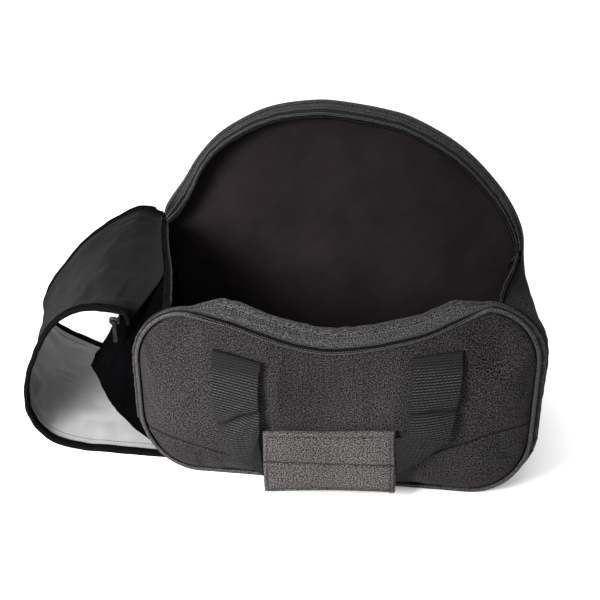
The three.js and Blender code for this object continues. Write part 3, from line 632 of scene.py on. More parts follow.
# Front panel
def panelPoint(u, v):
    x = columnAt(u, panelHalf)
    return x, mix(panelBottom(x), panelTop(x), v)


def panelRoom(x, z, beside=3):  # distance to the nearest edge, and a little more at the sides
    return np.minimum(np.minimum(z - panelBottom(x), panelTop(x) - z), panelHalf - np.abs(x) + beside)


def lowerSeam(x):
    return through(x, pocket["seamX"], pocket["seamZ"])


def panelRelief(x, z):
    # Outward relief of the padded panel: rolled edges, the sunk lower seam, slack folds below the
    # zip and by the corners, and dents where the webbing pulls
    edge, seam = panelRoom(x, z), lowerSeam(x)
    roll = -2.6 * np.exp(-np.clip(edge, 0, None) / 3.2)
    sunk = 0.5 * bell(z - seam + 6, 5) - 1.3 * bell(z - seam, 1.5)
    soft = 0.9 * ripples(x, z, 3, 120) + 0.35 * ripples(x, z, 4, 45)
    gathers = 0.55 * ripples(x, z * 0.15, 5, 17) * np.exp(-(panelTop(x) - z) / 16)
    return roll + sunk + (soft + creases(x, z, pocket["folds"])) * ease(edge, 0, 14) + gathers


def panelBase(u, v):
    x, z = panelPoint(u, v)
    return stack(x, panelDepth(x, z), z)


def panelPins(u, v):  # held at its edge, by the two straps and the grip, and less along its lower seam
    x, z = panelPoint(u, v)
    strap = (1 - ease(np.abs(np.abs(x - 4) - 100), 24, 40)) * (1 - ease(z, 178, 192)) * ease(z, 35, 50)
    grip = (1 - ease(np.abs(x), 66, 84)) * (1 - ease(z, 84, 100))
    held = np.maximum(1 - ease(panelRoom(x, z, 0), 0, 5), strap)
    return np.maximum(held, np.maximum(grip, 0.6 * bell(z - lowerSeam(x), 5)))


panelDrape = drape(panelBase, (120, 56), panelPins, slack=0.03, pressure=0.6, gravity=0.4, cap=5.0)


def panelSurface(u, v):
    x, z = panelPoint(u, v)
    return stack(x, panelDepth(x, z) - panelRelief(x, z), z) + panelDrape(u, v)


def panelShade(u, v):
    x, z = panelPoint(u, v)
    edge = 0.5 * np.exp(-np.clip(panelRoom(x, z), 0, None) / 1.6)
    return np.clip(bell(z - lowerSeam(x), 1.1) + edge, 0, 1)


panel = skin("front_pad", panelSurface, (260, 150), clothFront, ["front_panel"], thick=3.2,
             shade=panelShade)

stitches, paleStitches = [], []  # two threads, gathered here and each made in one piece at the end
seamX = np.linspace(5 - panelHalf, panelHalf - 5, 240)
seamU = 0.5 + np.arcsin(seamX / panelHalf) / pi
seamV = (lowerSeam(seamX) - 3.2 - panelBottom(seamX)) / (panelTop(seamX) - panelBottom(seamX))
sew(stitches, panelSurface, seamU, np.clip(seamV, 0.01, 1), height=0.35)


# Outline of the pocket: from the left shoulder down and round to the right one
def outline(out, share=0.0, count=360):
    # Quarter ellipses at the corners joined by straight sides, then spaced evenly
    wide = out + pocket["inset"] * share
    half = panelHalf + wide
    across, down = body["topCorner"][0] + wide, body["topCorner"][1] + out
    lowAcross, lowDown = body["bottomCorner"][0] + wide, body["bottomCorner"][1] + out
    low = body["floorGap"] + body["bottomCorner"][1]
    fall = body["topCorner"][1] + pocket["shoulderFall"] * share
    left, right = body["leftShoulder"] - fall, body["rightShoulder"] - fall
    a = np.linspace(0, pi / 2, 40)
    parts = [(-zipHalf - across * np.sin(a), left + down * np.cos(a)),
             (-baseHalf - lowAcross * np.cos(a), low - lowDown * np.sin(a)),
             (baseHalf + lowAcross * np.sin(a), low - lowDown * np.cos(a)),
             (zipHalf + across * np.cos(a), right + down * np.sin(a))]
    line = np.concatenate([np.stack(p, -1) for p in parts])
    run = runAlong(line)
    return takenAt(np.linspace(0, run[-1], count), run, line)


def outlineAt(line, u):
    places = takenAt(u * (len(line) - 1), np.arange(len(line)), line)
    return places[..., 0], places[..., 1]


pipingX, pipingZ = outline(pocket["piping"] + 0.6).T
wobble = 0.25 * ripples(np.arange(len(pipingX)) * 3.1, 0, 8, 60)
pipingLine = stack(pipingX, panelEdgeDepth(pipingZ) - pocket["piping"] / 2 + wobble, pipingZ)
sweep("front_cord", pipingLine, (0, -1, 0), roundSection(pocket["piping"], 12), pipingCloth,
      ["front_piping"])

stripFrom, stripTo = outline(3.1), outline(1.6, 1.0)
edgeX = np.linspace(-zipHalf - 1, zipHalf + 1, 260)  # the piping runs out along the zipped edge
thin = ease(1 - np.abs(edgeX) / zipHalf, -0.02, 0.2)
radius = pocket["piping"] * (1 - 0.68 * thin)
edgeZ = zipHeight(edgeX) + mix(pocket["piping"] + 0.6, 0.3, thin)
sweep("front_edge_cord", stack(edgeX, panelEdgeDepth(edgeZ) - radius / 2, edgeZ), (0, -1, 0),
      roundSection(1.0, 10) * radius[:, None, None], pipingCloth)


def stripSurface(u, v):
    # Runs back from the piping to the body and swells out between them, puckered by its seams
    x0, z0 = outlineAt(stripFrom, u)
    x1, z1 = outlineAt(stripTo, u)
    x, z = mix(x0, x1, v), mix(z0, z1, v)
    lift = pocket["stripSwell"] * np.sin(pi * v) * ease(z, body["floorGap"], body["bottomCorner"][1])
    pucker = 0.5 * ripples(u * pocket["stripRun"], v * 4, 11, 14) * np.sin(pi * np.clip(v * 1.1, 0, 1))
    y = mix(panelEdgeDepth(z0) + 0.5, frontEdge - 1.2, v)
    return stack(x * (1 + (lift + pucker) / panelHalf), y, z)


def stripShade(u, v):  # dark in both its seams
    return np.clip(0.95 * (1 - ease(v, 0.22, 0.42)) + 0.85 * ease(v, 0.78, 0.88), 0, 1)


skin("side_strip", stripSurface, (420, 20), clothBand, ["pocket_side_strip"], thick=1.3, flip=True,
     shade=stripShade)
cordAlong("side_strip_cord", stripSurface, np.linspace(0, 1, 400), 0.97, 0.2, roundSection(1.5, 10),
          pipingCloth, flip=True)
sew(stitches, stripSurface, np.linspace(0, 1, 240), 0.2, 0.8, flip=True, height=0.35)
print("front pocket made")

# Mouth: pocket zip, band and the front half of the mouth's zip
mouth = {
    "zipWidth": 5, "bandRise": 5, "zipShare": 0.28, "bandSwell": 2.6, "past": 0.42,
    "tapeWidth": 7, "tapeLean": 0.4, "tapeEnd": 31,  # the side tapes end this far from the back
    "rightHeight": 181, "rightRise": 34, "rightInset": 44, "rightBulge": 12,
    "leftHeight": 197, "leftRise": -6, "leftInset": 37,
    "edgeStops": [0, 0.31, 0.64, 0.87, 1],
    "edgeInset": [1, 0.73, 0.34, 0.09, 0], "edgeRise": [1, 0.6, 0.19, 0.05, 0],
}


def mouthFullness(x):
    return ease(1 - np.abs(x) / zipHalf, -0.08, 0.28)


def mouthSlope(x, share):  # from the panel's zipped edge up and back to the mouth's edge
    rise = (mouth["zipWidth"] + mouth["bandRise"]) * mouthFullness(x)
    edge = panelEdgeDepth(zipHeight(x))
    return stack(x, mix(edge + 2, frontEdge - 0.3, share), zipHeight(x) + 0.6 + rise * share)


stripLength = runAlong(stripTo)[-1]


def mouthPath(u, share, lift):
    # Along the mouth from shoulder to shoulder, and on round both corners on the side strip, where it
    # sinks into the strip at its end. Gives the places, how full the mouth is there, and x
    past, end = mouth["past"], zipHalf - 0.6
    s, share = np.broadcast_arrays(mix(-1, 1, u) * (1 + past), share)
    far, near = np.abs(s), np.clip(s, -1, 1) * end
    beyond = np.clip(far - 1, 0, None) * zipHalf / stripLength
    turnsOff = np.where(s < 0, beyond, 1 - beyond)
    out = lift * (1 - ease(far, 1, 1 + past)) - 0.9 * ease(far, 1 + 0.6 * past, 1 + past)
    normals = normalsOf(stripSurface, np.clip(turnsOff, 0.002, 0.998), np.clip(share, 0.01, 0.99), flip=True)
    onStrip = stripSurface(turnsOff, share) + normals * out[..., None]
    joint = onStrip - mouthSlope(np.sign(s) * end, share)
    onMouth = mouthSlope(near, share) + ease(far, 0.72, 1)[..., None] * joint
    full = mouthFullness(near) * (1 - ease(far, 1, 1 + 0.7 * past))
    return np.where(far[..., None] > 1, onStrip, onMouth), full, s * end


def pocketZipSurface(u, v):  # crowned a little, and waved along its run
    places, full, x = mouthPath(u, mix(-0.06, mouth["zipShare"], v), 0.5)
    places[..., 1] += (0.8 * np.sin(pi * v) + 0.25 * ripples(x, v * 5, 21, 26)) * ease(full, 0, 0.3)
    return places


def bandSurface(u, v):
    # Cloth strip that bulges forward between the two zips, with short upright puckers
    places, full, x = mouthPath(u, mix(mouth["zipShare"] + 0.02, 1.0, v), 1.0)
    pucker = 0.7 * ripples(x, v * 5, 22, 11) + 0.5 * ripples(x, v * 3, 23, 32)
    out = full * (mouth["bandSwell"] * np.sin(pi * v) ** 0.8 + pucker * np.sin(pi * np.clip(v, 0.08, 1)))
    places[..., 1] -= 0.75 * out
    places[..., 2] += 0.65 * out
    return places


def frontTapeSurface(u, v):
    # Zip tape standing back off the band's upper edge, waved as slack tape is
    edge, full, x = mouthPath(u, 1.0, 1.0)
    width = mouth["tapeWidth"] * full * v
    wave = full * v * (0.8 * ripples(x, v, 24, 30) + 0.3 * ripples(x, v, 25, 9))
    edge[..., 1] += width / 2 + 0.5 * wave
    edge[..., 2] += 0.3 + width + 0.6 * wave
    return edge


skin("pocket_zip_tape", pocketZipSurface, (300, 10), tapeCloth, ["pocket_zip"], thick=1.1)
skin("mouth_strip", bandSurface, (420, 22), clothBand, ["mouth_band"], thick=1.3)
skin("mouth_tape_front", frontTapeSurface, (360, 10), clothBand, ["mouth_zip_front"], thick=1.6)

zipU = np.linspace(0.015, 0.985, 400)
teeth = [teethLine(*onSurface(pocketZipSurface, zipU, 0.52, 0.8))]  # gathered here, as the threads are
cordAlong("mouth_cord_0", pocketZipSurface, zipU, 0.97, 0.7, roundSection(0.9, 8), cordGrey)
cordAlong("mouth_cord_1", frontTapeSurface, zipU, 0.96, -0.6, roundSection(1.7, 8), cordGrey)
sew(paleStitches, pocketZipSurface, zipU, 0.16, off=0.3, pitch=2.6, length=1.6, width=0.5)
sew(stitches, bandSurface, zipU, 0.14, length=2.2)
sew(paleStitches, bandSurface, zipU, 0.92, length=2.0, width=0.5)
sew(stitches, frontTapeSurface, zipU, 0.5, off=0.2, length=2.2)


def frontWallSurface(u, v):  # closes the pocket from behind
    x = columnAt(u, bodyHalf + 1.6)
    inside = np.clip(x, -zipHalf, zipHalf)
    drop = cornerDrop(np.abs(x) - zipHalf, body["topCorner"][0] + pocket["inset"] + 1.6, body["topCorner"][1])
    low, high = bodyBottom(x) - 1.6, mouthSlope(inside, 1.0)[..., 2] - drop - 2
    z = mix(low, high, v)
    return stack(x, frontEdge + 0.8 + 0.5 * ripples(x, z, 31, 70), z)


skin("front_lining", frontWallSurface, (120, 50), liningBrown, ["front_wall"], thick=1.4)
print("mouth made")


# Ends of the body
lid = {
    "height": 341, "lean": 15, "rim": 23, "droop": 7, "pad": 4, "footLean": 8, "zipWidth": 5,
    "run": 900,  # length of the arch, for its puckers
    "stops": [0, 0.09, 0.155, 0.205, 0.26, 0.32, 0.37, 0.425, 0.48, 0.595, 0.65, 0.72, 0.81, 0.91, 1],
    "rise": [0, 0.15, 0.31, 0.51, 0.7, 0.845, 0.935, 0.985, 1, 0.93, 0.845, 0.7, 0.46, 0.2, 0],
}


def backDepth(z):
    return backEdge + lid["lean"] * np.clip(z / lid["height"], 0, 1) ** 1.6


def bodySide(side, z, depth):  # straight at the front, leaning left towards the back
    high = (mouth["rightHeight"] + mouth["leftHeight"]) / 2
    return side * bodyHalf - body["leanLeft"] * depth * ease(z, body["bottomCorner"][1], high)


def mouthCorner(side, depth):
    name = "right" if side > 0 else "left"
    rise = through(depth, mouth["edgeStops"], mouth["edgeRise"])
    inset = through(depth, mouth["edgeStops"], mouth["edgeInset"])
    z = mouth[name + "Height"] + mouth[name + "Rise"] * rise
    return bodySide(side, z, depth) - side * mouth[name + "Inset"] * inset, z


def endSurface(side, swell, corner=0.36):
    # From the base's edge round the lower corner, a quarter ellipse that takes up the corner's share of
    # the run, and up to the mouth's edge. The swell pushes it outwards
    def surface(u, v):
        turn = pi / 2 * np.clip(v / corner, 0, 1)
        lowX = side * mix(baseHalf + 0.3, bodyHalf, np.sin(turn))
        lowZ = body["bottomCorner"][1] * (1 - np.cos(turn))
        t = np.clip((v - corner) / (1 - corner), 0, 1)
        topX, topZ = mouthCorner(side, u)
        highZ = mix(body["bottomCorner"][1], topZ, 1 - (1 - t) ** 1.25)
        highX = mix(bodySide(side, highZ, u), topX, t ** (5 if side < 0 else 8))
        x, z = np.where(v < corner, lowX, highX), np.where(v < corner, lowZ, highZ)
        y = mix(wallFront, backDepth(z) + 1.2, u)  # as far as the leaning back panel
        return stack(x + side * swell(u, z, y), y, z)
    return surface


rightFolds = [(2.4, (-95, 195), (30, 110), 12), (2.0, (80, 175), (-20, 80), 14),
              (1.6, (-60, 120), (60, 60), 11)]


def rightSwell(depth, z, y):  # slumped outwards, fullest above its middle, with slack folds
    up = np.clip(z / (mouth["rightHeight"] + mouth["rightRise"]), 0, 1)
    swell = mouth["rightBulge"] * np.sin(pi * np.sqrt(depth)) * np.sin(pi * up * up)
    folds = creases(y, z, rightFolds) + 0.8 * ripples(y, z, 41, 60)
    return swell + folds * ease(z, 8, 50) * np.sin(pi * np.clip(depth, 0.02, 0.98)) ** 0.5


liningFold = {"reach": 68, "stops": [0, 0.05, 0.16, 0.43, 0.62, 0.77, 0.86, 0.92, 1],
              "out": [0, 0.25, 0.64, 1, 0.76, 0.42, 0.08, 0, 0]}


def leftSwell(depth, z, y):
    # Pushed out to one sharp fold below its middle, with fine wrinkles running up and down it
    full = through(z / mouth["leftHeight"], liningFold["stops"], liningFold["out"])
    across = np.sin(pi * np.clip(depth, 0, 1) ** 0.6)
    wrinkles = 1.5 * ripples(y, z * 0.3, 43, 19) + 0.7 * ripples(y, z * 0.4, 44, 8)
    tip = 7.0 * np.exp(-np.abs(z - 86) / 9) - 1.5
    return liningFold["reach"] * full * across + (wrinkles + tip) * np.clip(full, 0, 1) * across


def draped(surface, slack, cap):
    # An end wall held along its four seams, cut too large, so that it gathers between them
    pins = lambda u, v: 1 - ease(np.minimum(np.minimum(u, 1 - u), np.minimum(v * 1.2, 1 - v)), 0.01, 0.07)
    moves = drape(surface, (60, 70), pins, slack=slack, gravity=0.3, bend=0.2, cap=cap)
    return lambda u, v: surface(u, v) + moves(u, v)


rightSurface = draped(endSurface(1, rightSwell), 0.025, 5.0)
leftSurface = draped(endSurface(-1, leftSwell), 0.03, 4.0)
skin("right_side_cloth", rightSurface, (130, 130), clothOuter, ["right_end_wall"], thick=1.0)
skin("right_side_lining", rightSurface, (110, 110), liningBlack, ["right_end_wall"], thick=0.7,
     sink=-1.15)
skin("left_lining", leftSurface, (170, 170), liningBlack, ["left_lining_wall"], thick=1.3, flip=True)


def sideTape(side):
    def surface(u, v):  # stands on the end wall's edge and leans in over the mouth
        depth = mix(0.6 / body["depth"], 1 - mouth["tapeEnd"] / body["depth"], u)
        x, z = mouthCorner(side, depth)
        y = mix(wallFront, wallBack, depth)
        wave = v * (0.9 * ripples(y, v, 46 + side, 36) + 0.3 * ripples(y, v, 48 + side, 10))
        width = mouth["tapeWidth"] * v
        return stack(x - side * (1 + mouth["tapeLean"] * width + 0.6 * wave), y, z + 0.9 + width)
    return surface


tapeU = np.linspace(0, 1, 200)
for side, name in ((-1, "left"), (1, "right")):
    surface, flip = sideTape(side), side < 0
    skin(f"mouth_tape_{name}", surface, (150, 10), bindingBlack, [f"mouth_zip_{name}"], thick=1.2,
         flip=flip)
    sewnU = mix(0.01, 0.99, tapeU)
    teeth.append(teethLine(*onSurface(surface, sewnU, 0.93, 0, flip), length=2.6))
    sew(stitches, surface, sewnU, 0.35, flip=flip)
    cordAlong(f"mouth_side_cord_{name}", surface, tapeU, 0.04, 0.3, roundSection(1.3, 8), bindingBlack,
              flip=flip)


def floorSurface(u, v):  # flat, out to the lower edges of the walls
    return stack(mix(-baseHalf - 0.9, baseHalf + 0.9, u), mix(wallFront, wallBack + 1.8, v), body["floorTop"])


skin("floor_pad", floorSurface, (90, 60), liningBrown, ["base_panel"], thick=2.0)
underSurface = lambda u, v: floorSurface(u, v) * [1, 1, 0]
skin("underside_cloth", underSurface, (90, 60), clothOuter, ["base_panel"], thick=1.6, flip=True)
print("ends made")

# Back panel and lid
def archHeight(u):
    foot = mix(mouth["leftHeight"], mouth["rightHeight"], u)
    return foot + (lid["height"] - foot) * through(u, lid["stops"], lid["rise"])


def backPlace(u, z):
    return stack(columnAt(u, bodyHalf) + bodySide(0, z, 1), backDepth(z), z)


def backRoom(u, z):  # distance to the back panel's nearest edge
    low, high = bodyBottom(columnAt(u, bodyHalf)), archHeight(u)
    return np.minimum(np.minimum(z - low, high - z), (1 - np.abs(2 * u - 1)) * bodyHalf)


def backSurface(u, v):
    z = mix(bodyBottom(columnAt(u, bodyHalf)), archHeight(u), v)
    places = backPlace(u, z)
    soft = 1.1 * ripples(places[..., 0], z, 51, 110) + 0.3 * ripples(places[..., 0], z, 52, 30)
    places[..., 1] += soft * ease(backRoom(u, z), 0, 25)
    return places


def backOuterSurface(u, v):  # the pad's outside, its edges rolled
    places = backSurface(u, v)
    places[..., 1] += lid["pad"] - 2.0 * np.exp(-np.clip(backRoom(u, places[..., 2]), 0, None) / 4)
    return places


backPad = skin("back_pad", backOuterSurface, (200, 160), clothOuter, ["back_panel"],
               thick=2.2, flip=True)
skin("lid_lining", backSurface, (170, 130), liningBrown, ["back_panel"], thick=1.0)


def rimSurface(u, v):
    # Runs forward from the arch and hangs in a little; its seams pull it into shallow puckers
    p = backPlace(u, archHeight(u))
    middle = bodySide(0, p[..., 2], 1)
    hang, turn = lid["droop"] * v, (u - 0.5) * pi
    leanIn = lid["footLean"] * v * ease(u, 0, 0.07) * (1 - ease(u, 0.1, 0.24))
    x = middle + (p[..., 0] - middle) * (1 - hang / bodyHalf) + leanIn
    pucker = 0.45 * ripples(u * lid["run"], v * 8, 55, 26) * np.sin(pi * np.clip(v, 0.03, 0.97))
    roll = 1.4 * np.sin(pi * v) + pucker
    z = p[..., 2] + 0.6 + (roll - hang) * np.cos(turn)
    return stack(x + roll * np.sin(turn), p[..., 1] - 0.3 - lid["rim"] * v, z)


def lidZipSurface(u, v):  # hangs on forward from the rim's edge, waved as slack tape is
    edge, turn = rimSurface(u, 1.0 + 0 * v), (u - 0.5) * pi
    drop = (1.4 - 0.35 * ripples(u * lid["run"], v, 57, 16)) * v
    edge[..., 0] -= drop * np.sin(turn)
    edge[..., 1] -= 0.4 + lid["zipWidth"] * v
    edge[..., 2] -= drop * np.cos(turn)
    return edge


def rimShade(u, v):  # dark at both its feet, along its front half and in its back seam
    feet = 0.9 * (1 - ease(np.minimum(u, 1 - u), 0.05, 0.16))
    return np.clip(feet + 0.75 * ease(v, 0.36, 0.46) + 0.5 * bell(v - 0.14, 0.03), 0, 1)


skin("lid_strip", rimSurface, (420, 40), clothBand, ["lid_rim"], thick=0.9, flip=True, shade=rimShade)
skin("lid_strip_lining", rimSurface, (360, 22), liningBlack, ["lid_rim"], thick=0.5, flip=True,
     sink=-0.95)
skin("lid_zip_tape", lidZipSurface, (420, 8), tapeCloth, ["lid_zip"], thick=1.1, flip=True)
archU = np.linspace(0.004, 0.996, 500)
teeth.append(teethLine(*onSurface(lidZipSurface, archU, 0.8, 0.1, flip=True), length=2.8))
cordAlong("lid_front_cord", rimSurface, archU, 0.97, 0.2, roundSection(0.9, 8), cordGrey, flip=True,
          shade=1 - ease(np.minimum(archU, 1 - archU), 0.04, 0.2))
cordAlong("lid_back_cord", rimSurface, archU, 0.03, 0.8, roundSection(1.3, 8), cordGrey, flip=True)
sew(stitches, rimSurface, archU, 0.62, off=0.5, flip=True, length=2.6, width=1.6, height=0.9)
sew(paleStitches, rimSurface, archU, 0.52, 0.86, flip=True, pitch=3.2, length=2.2, width=0.6)
sew(stitches, rimSurface, archU, 0.14, 0.8, off=1.7, length=3.0, width=0.9)
cordAlong("lid_inner_binding", rimSurface, archU, 0.055, 2.4, strapSection(7.5, 1.6), bindingBlack)


def backCordLine(count=60):
    # Piping round the back panel: up from the left lower corner, over the arch, and down to the right one
    offset, rise = pocket["piping"] - 0.6, body["bottomCorner"][1]
    u = np.linspace(0, 1, 5 * count)
    arch, turn = backPlace(u, archHeight(u)), (u - 0.5) * pi
    top = stack(arch[:, 0] + offset * np.sin(turn), backDepth(arch[:, 2]), arch[:, 2] + offset * np.cos(turn))
    low = np.linspace(0.04, 1, count)[:-4] * pi / 2
    lowX = mix(baseHalf, bodyHalf + offset, np.sin(low))
    lowZ = body["floorGap"] + rise - (rise + 1.2) * np.cos(low)
    lines = []
    for side, name in ((-1, "left"), (1, "right")):
        z = np.linspace(rise, mouth[name + "Height"], count)[6:-1]
        corner = stack(side * lowX, backDepth(lowZ), lowZ)
        upright = stack(bodySide(side, z, 1) + side * offset, backDepth(z), z)
        lines.append(np.concatenate([corner, upright]))
    return np.concatenate([lines[0], top, lines[1][::-1]]) + [0, 2, 0]


backCord, backNormals = evenly(backCordLine(), (0.0, 1.0, 0.0), 3.0)
sweep("back_cord", backCord, backNormals, roundSection(pocket["piping"], 12), pipingCloth,
      ["back_piping"])
print("lid made")

# Unzipped skin of the left end, lying as a loop
loop = {
    "reach": 178, "height": 206, "front": frontEdge + 9, "back": backEdge + 10, "binding": 8.5,
    "inset": 1.5, "run": 620, "middle": (-70, 95),  # from the body's side out, and up
    "stops": [0, 0.1, 0.24, 0.33, 0.41, 0.49, 0.57, 0.66, 0.75, 0.84, 0.92, 1],
    "frontOut": [-0.28, 0.1, 0.49, 0.66, 0.74, 0.72, 0.64, 0.52, 0.36, 0.2, 0.07, 0.045],
    "frontUp": [0, 0.002, 0.016, 0.09, 0.24, 0.42, 0.6, 0.77, 0.865, 0.88, 0.86, 0.8],
    "backOut": [-0.28, 0.1, 0.5, 0.75, 0.95, 1.02, 0.97, 0.84, 0.65, 0.42, 0.25, 0.115],
    "backUp": [0, 0.002, 0.018, 0.09, 0.18, 0.29, 0.43, 0.59, 0.78, 0.93, 1, 0.955],
    # shallow folds: rise, start, end, width
    "folds": [(1.6, (430, 20), (560, -60), 22), (-1.6, (380, -80), (470, 40), 24),
              (1.2, (500, 110), (600, 20), 18)],
}


def loopPlace(along, y):
    # Its front and back edges are tables of out and up round the loop, mixed by depth; its last tenth
    # turns onto the edge of the mouth, where it is sewn
    depth = (y - loop["front"]) / (loop["back"] - loop["front"])
    out, up = (mix(through(along, loop["stops"], loop["front" + way]),
                   through(along, loop["stops"], loop["back" + way]), depth) for way in ("Out", "Up"))
    free = stack(-bodyHalf - loop["reach"] * out, y, loop["height"] * up)
    edgeX, edgeZ = mouthCorner(-1, np.clip((y - wallFront) / (wallBack - wallFront), 0, 1))
    sewn = stack(edgeX - 5.4, y, edgeZ + 1.6)
    return mix(free, sewn, (ease(along, 0.9, 1) * ease(depth, 0, 0.35))[..., None])


def loopDepth(v):
    return mix(loop["front"] + loop["inset"], loop["back"] - loop["inset"], v)


def loopBase(u, v):
    return loopPlace(u, loopDepth(v))


def loopPins(u, v):  # lies on the floor at one end, is sewn at the other, and its bound edges are stiffer
    bound = 0.75 * (1 - ease(np.minimum(v, 1 - v), 0.02, 0.12))
    return np.maximum(np.maximum(1 - ease(u, 0.26, 0.34), ease(u, 0.92, 0.97)), bound)


loopDrape = drape(loopBase, (96, 44), loopPins, slack=0.02, gravity=0.15, bend=0.5, cap=3.0)


def loopSurface(u, v):
    # The loop with soft dents across its bend and long shallow folds towards the mouth's edge, all
    # square to a line through its middle, and small lifts where it lies on the floor
    run, y = u * loop["run"], loopDepth(v)
    places = loopPlace(u, y)
    outward = unit(places - stack(-bodyHalf + loop["middle"][0], y, loop["middle"][1]))
    free = ease(u, 0.27, 0.4) * (1 - ease(u, 0.93, 1)) * ease(np.minimum(v, 1 - v), -0.03, 0.2)
    folds = 1.6 * ripples(run, y, 61, 95) + 0.25 * ripples(run, y, 62, 28) + creases(run, y, loop["folds"])
    lifts = 0.35 * (1 + ripples(run, y, 63, 40)) * (1 - ease(u, 0.2, 0.3)) * ease(u, 0.02, 0.08)
    return places + outward * (folds * free)[..., None] + stack(0, 0, lifts) + loopDrape(u, v)


def loopShade(u, v):  # darker where it lies against the body, and along the seam by its back edge
    return np.clip(0.9 * ease(u, 0.6, 0.96) + 0.5 * bell(v - 0.93, 0.006), 0, 1)


def silverShade(u, v):  # painted shadow over its standing wall, darker by the bound edges, and dark at its sewn end
    wall = 0.84 * ease(u + 0.1 * v, 0.29, 0.4) * (1 - ease(u + 0.1 * v, 0.52, 0.66)) * (1 - 0.6 * v)
    return np.clip(wall + 0.3 * np.exp(-np.minimum(v, 1 - v) / 0.04) + ease(u, 0.97, 0.985), 0, 1)


skin("end_skin_outer", loopSurface, (260, 100), clothOuter, ["end_flap"], thick=0.7,
     shade=loopShade)
skin("end_skin_inner", loopSurface, (260, 100), silverInner, ["end_flap"], thick=0.5,
     sink=-0.75, shade=silverShade)
loopU = np.linspace(0, 1, 420)
for name, row in (("front", 0), ("back", 1)):
    line, normals = onSurface(loopSurface, loopU, abs(row - 0.018), -0.5)
    lift = 0.25 * ripples(loopU * loop["run"], 0, 66, 22)
    sweep(f"end_binding_{name}", line + normals * lift[:, None], normals,
          strapSection(loop["binding"] + 2.5, 5.6, 8), bindingBlack, [f"flap_binding_{name}"])
    line, normals = cordAlong(f"end_coil_core_{name}", loopSurface, loopU, abs(row - 0.002), -0.5,
                              roundSection(0.9, 8), tapeCloth)
    teeth.append(teethLine(line, normals, pitch=2.0, length=2.4, width=1.25, height=1.5))
    for thread, off, flip in ((paleStitches, 0.95, False), (stitches, 1.95, True)):
        sew(thread, loopSurface, loopU, abs(row - 0.034), off=off, flip=flip, pitch=3.4, length=2.3, width=0.55)
depth = np.linspace(0, 1, 90)
edgeX, edgeZ = mouthCorner(-1, depth)
seamLine = stack(edgeX - 2.6, mix(wallFront, wallBack + 6, depth), edgeZ - 0.4)
sweep("end_seam_binding", seamLine, (-0.5, 0, 1), strapSection(8, 2.6), bindingBlack)
sew(stitches, loopSurface, loopU, 0.085, 0.915, off=1.35, flip=True, pitch=4.0, length=3.0, width=0.8)
sew(stitches, loopSurface, loopU, 0.915, off=0.1)
print("end loop made")

# Front handle
handle = {
    "width": 50, "thick": 2.0, "spacing": 100, "shift": 4, "seam": 90, "foldRadius": 3.5, "foldSlope": 0.13,
    "leftFold": 156, "rightFold": 173, "sewnGap": 0.9,
    "gripLength": 137, "gripHeight": 75, "gripThick": 8, "gripMiddle": 48, "gripTilt": 0.09,
    # the hanging straps' edges, outer and inner: across in widths, down in shares of the fold's height
    "hang": ([0.52, 0.5, 0.44, 0.34], [-0.46, -0.46, -0.48, -0.5]),
    "left": ([0.95, 0.79, 0.63, 0.35], [0.91, 0.8, 0.7, 0.58]), "leftCrease": 0.73,
    "right": ([0.96, 0.83, 0.66, 0.49], [0.95, 0.79, 0.62, 0.53]), "rightCrease": 0.69,
    "rearSeam": 52, "rearLow": 84, "footBox": (20, 56, 92),  # half its width, its foot and its head
}
bellyHeight = body["zipDip"] * 0.46
sewnGap = handle["sewnGap"]
hangGap = sewnGap + 2 * handle["foldRadius"]


def onFront(x, z, off):  # on the panel above the belly, straight down below it
    return stack(x, panelDepth(x, np.maximum(z, bellyHeight)) - off, z)


def foldOver():  # half a turn over a strap's fold: how far off the cloth, and how far over the fold's line
    turns = np.linspace(0.12, 1, 8) * pi
    return sewnGap + handle["foldRadius"] * (1 - np.cos(turns)), handle["foldRadius"] * np.sin(turns)


def strapRows(side, name):
    # Edge points of the strap, outer and inner, from its sewn foot up, over its fold, down to the grip
    width, middle, fold = handle["width"], side * handle["spacing"] + handle["shift"], handle[name + "Fold"]
    tilt, gripX = handle["gripTilt"], side * (handle["gripLength"] / 2 + 1.2)
    k = np.linspace(0, 1, 9)
    off, lift = foldOver()
    edges = []
    for outward, across, down, end in zip((1, -1), handle["hang"], handle[name], (-0.3 * width, 0.6 * width)):
        x, slope = middle + outward * side * width / 2, outward * handle["foldSlope"] * width
        hanging = onFront(middle + side * np.array(across) * width, fold * np.array(down), hangGap)
        last = onFront(gripX - end * tilt, handle["gripMiddle"] + end + gripX * tilt, hangGap)[None]
        edges.append(np.concatenate([onFront(x, mix(handle["seam"], fold, k) + slope * k, sewnGap),
                                     onFront(x, fold + slope + lift, off), hanging,
                                     mix(hanging[-1:], last, 0.5), last]))
    return edges


def betweenEdges(outer, inner):  # flat strap between its two edges, v along its run
    run = runAlong((outer + inner) / 2)
    run = run / run[-1]
    return lambda u, v: mix(takenAt(v, run, outer), takenAt(v, run, inner), u[..., None])


def creaseAt(side, name, u):  # where the hanging strap breaks, as a share of its length
    return handle[name + "Crease"] + 0.012 * side * (u - 0.5) + 0.004 * np.sin(9 * u)


def strapSurface(side, name):
    flat = betweenEdges(*strapRows(side, name))

    def surface(u, v):
        # The strap cups across its width, stands out below its fold and creases where it breaks
        places, at = flat(u, v), creaseAt(side, name, u)
        hanging = ease(v, 0.62, 0.68) * (1 - ease(v, 0.93, 1.0))
        belly = 3.2 * np.sin(pi * np.clip((v - 0.52) / (at - 0.52), 0, 1))
        belly = belly + 1.4 * ease(v, at, at + 0.06) * hanging
        soft = (1.2 * np.sin(pi * u) + 0.5 * ripples(u * 50, v * 300, 71 + side, 40)) * hanging
        places[..., 1] -= belly + soft - 2.6 * bell(v - at, 0.014)
        return places
    return surface


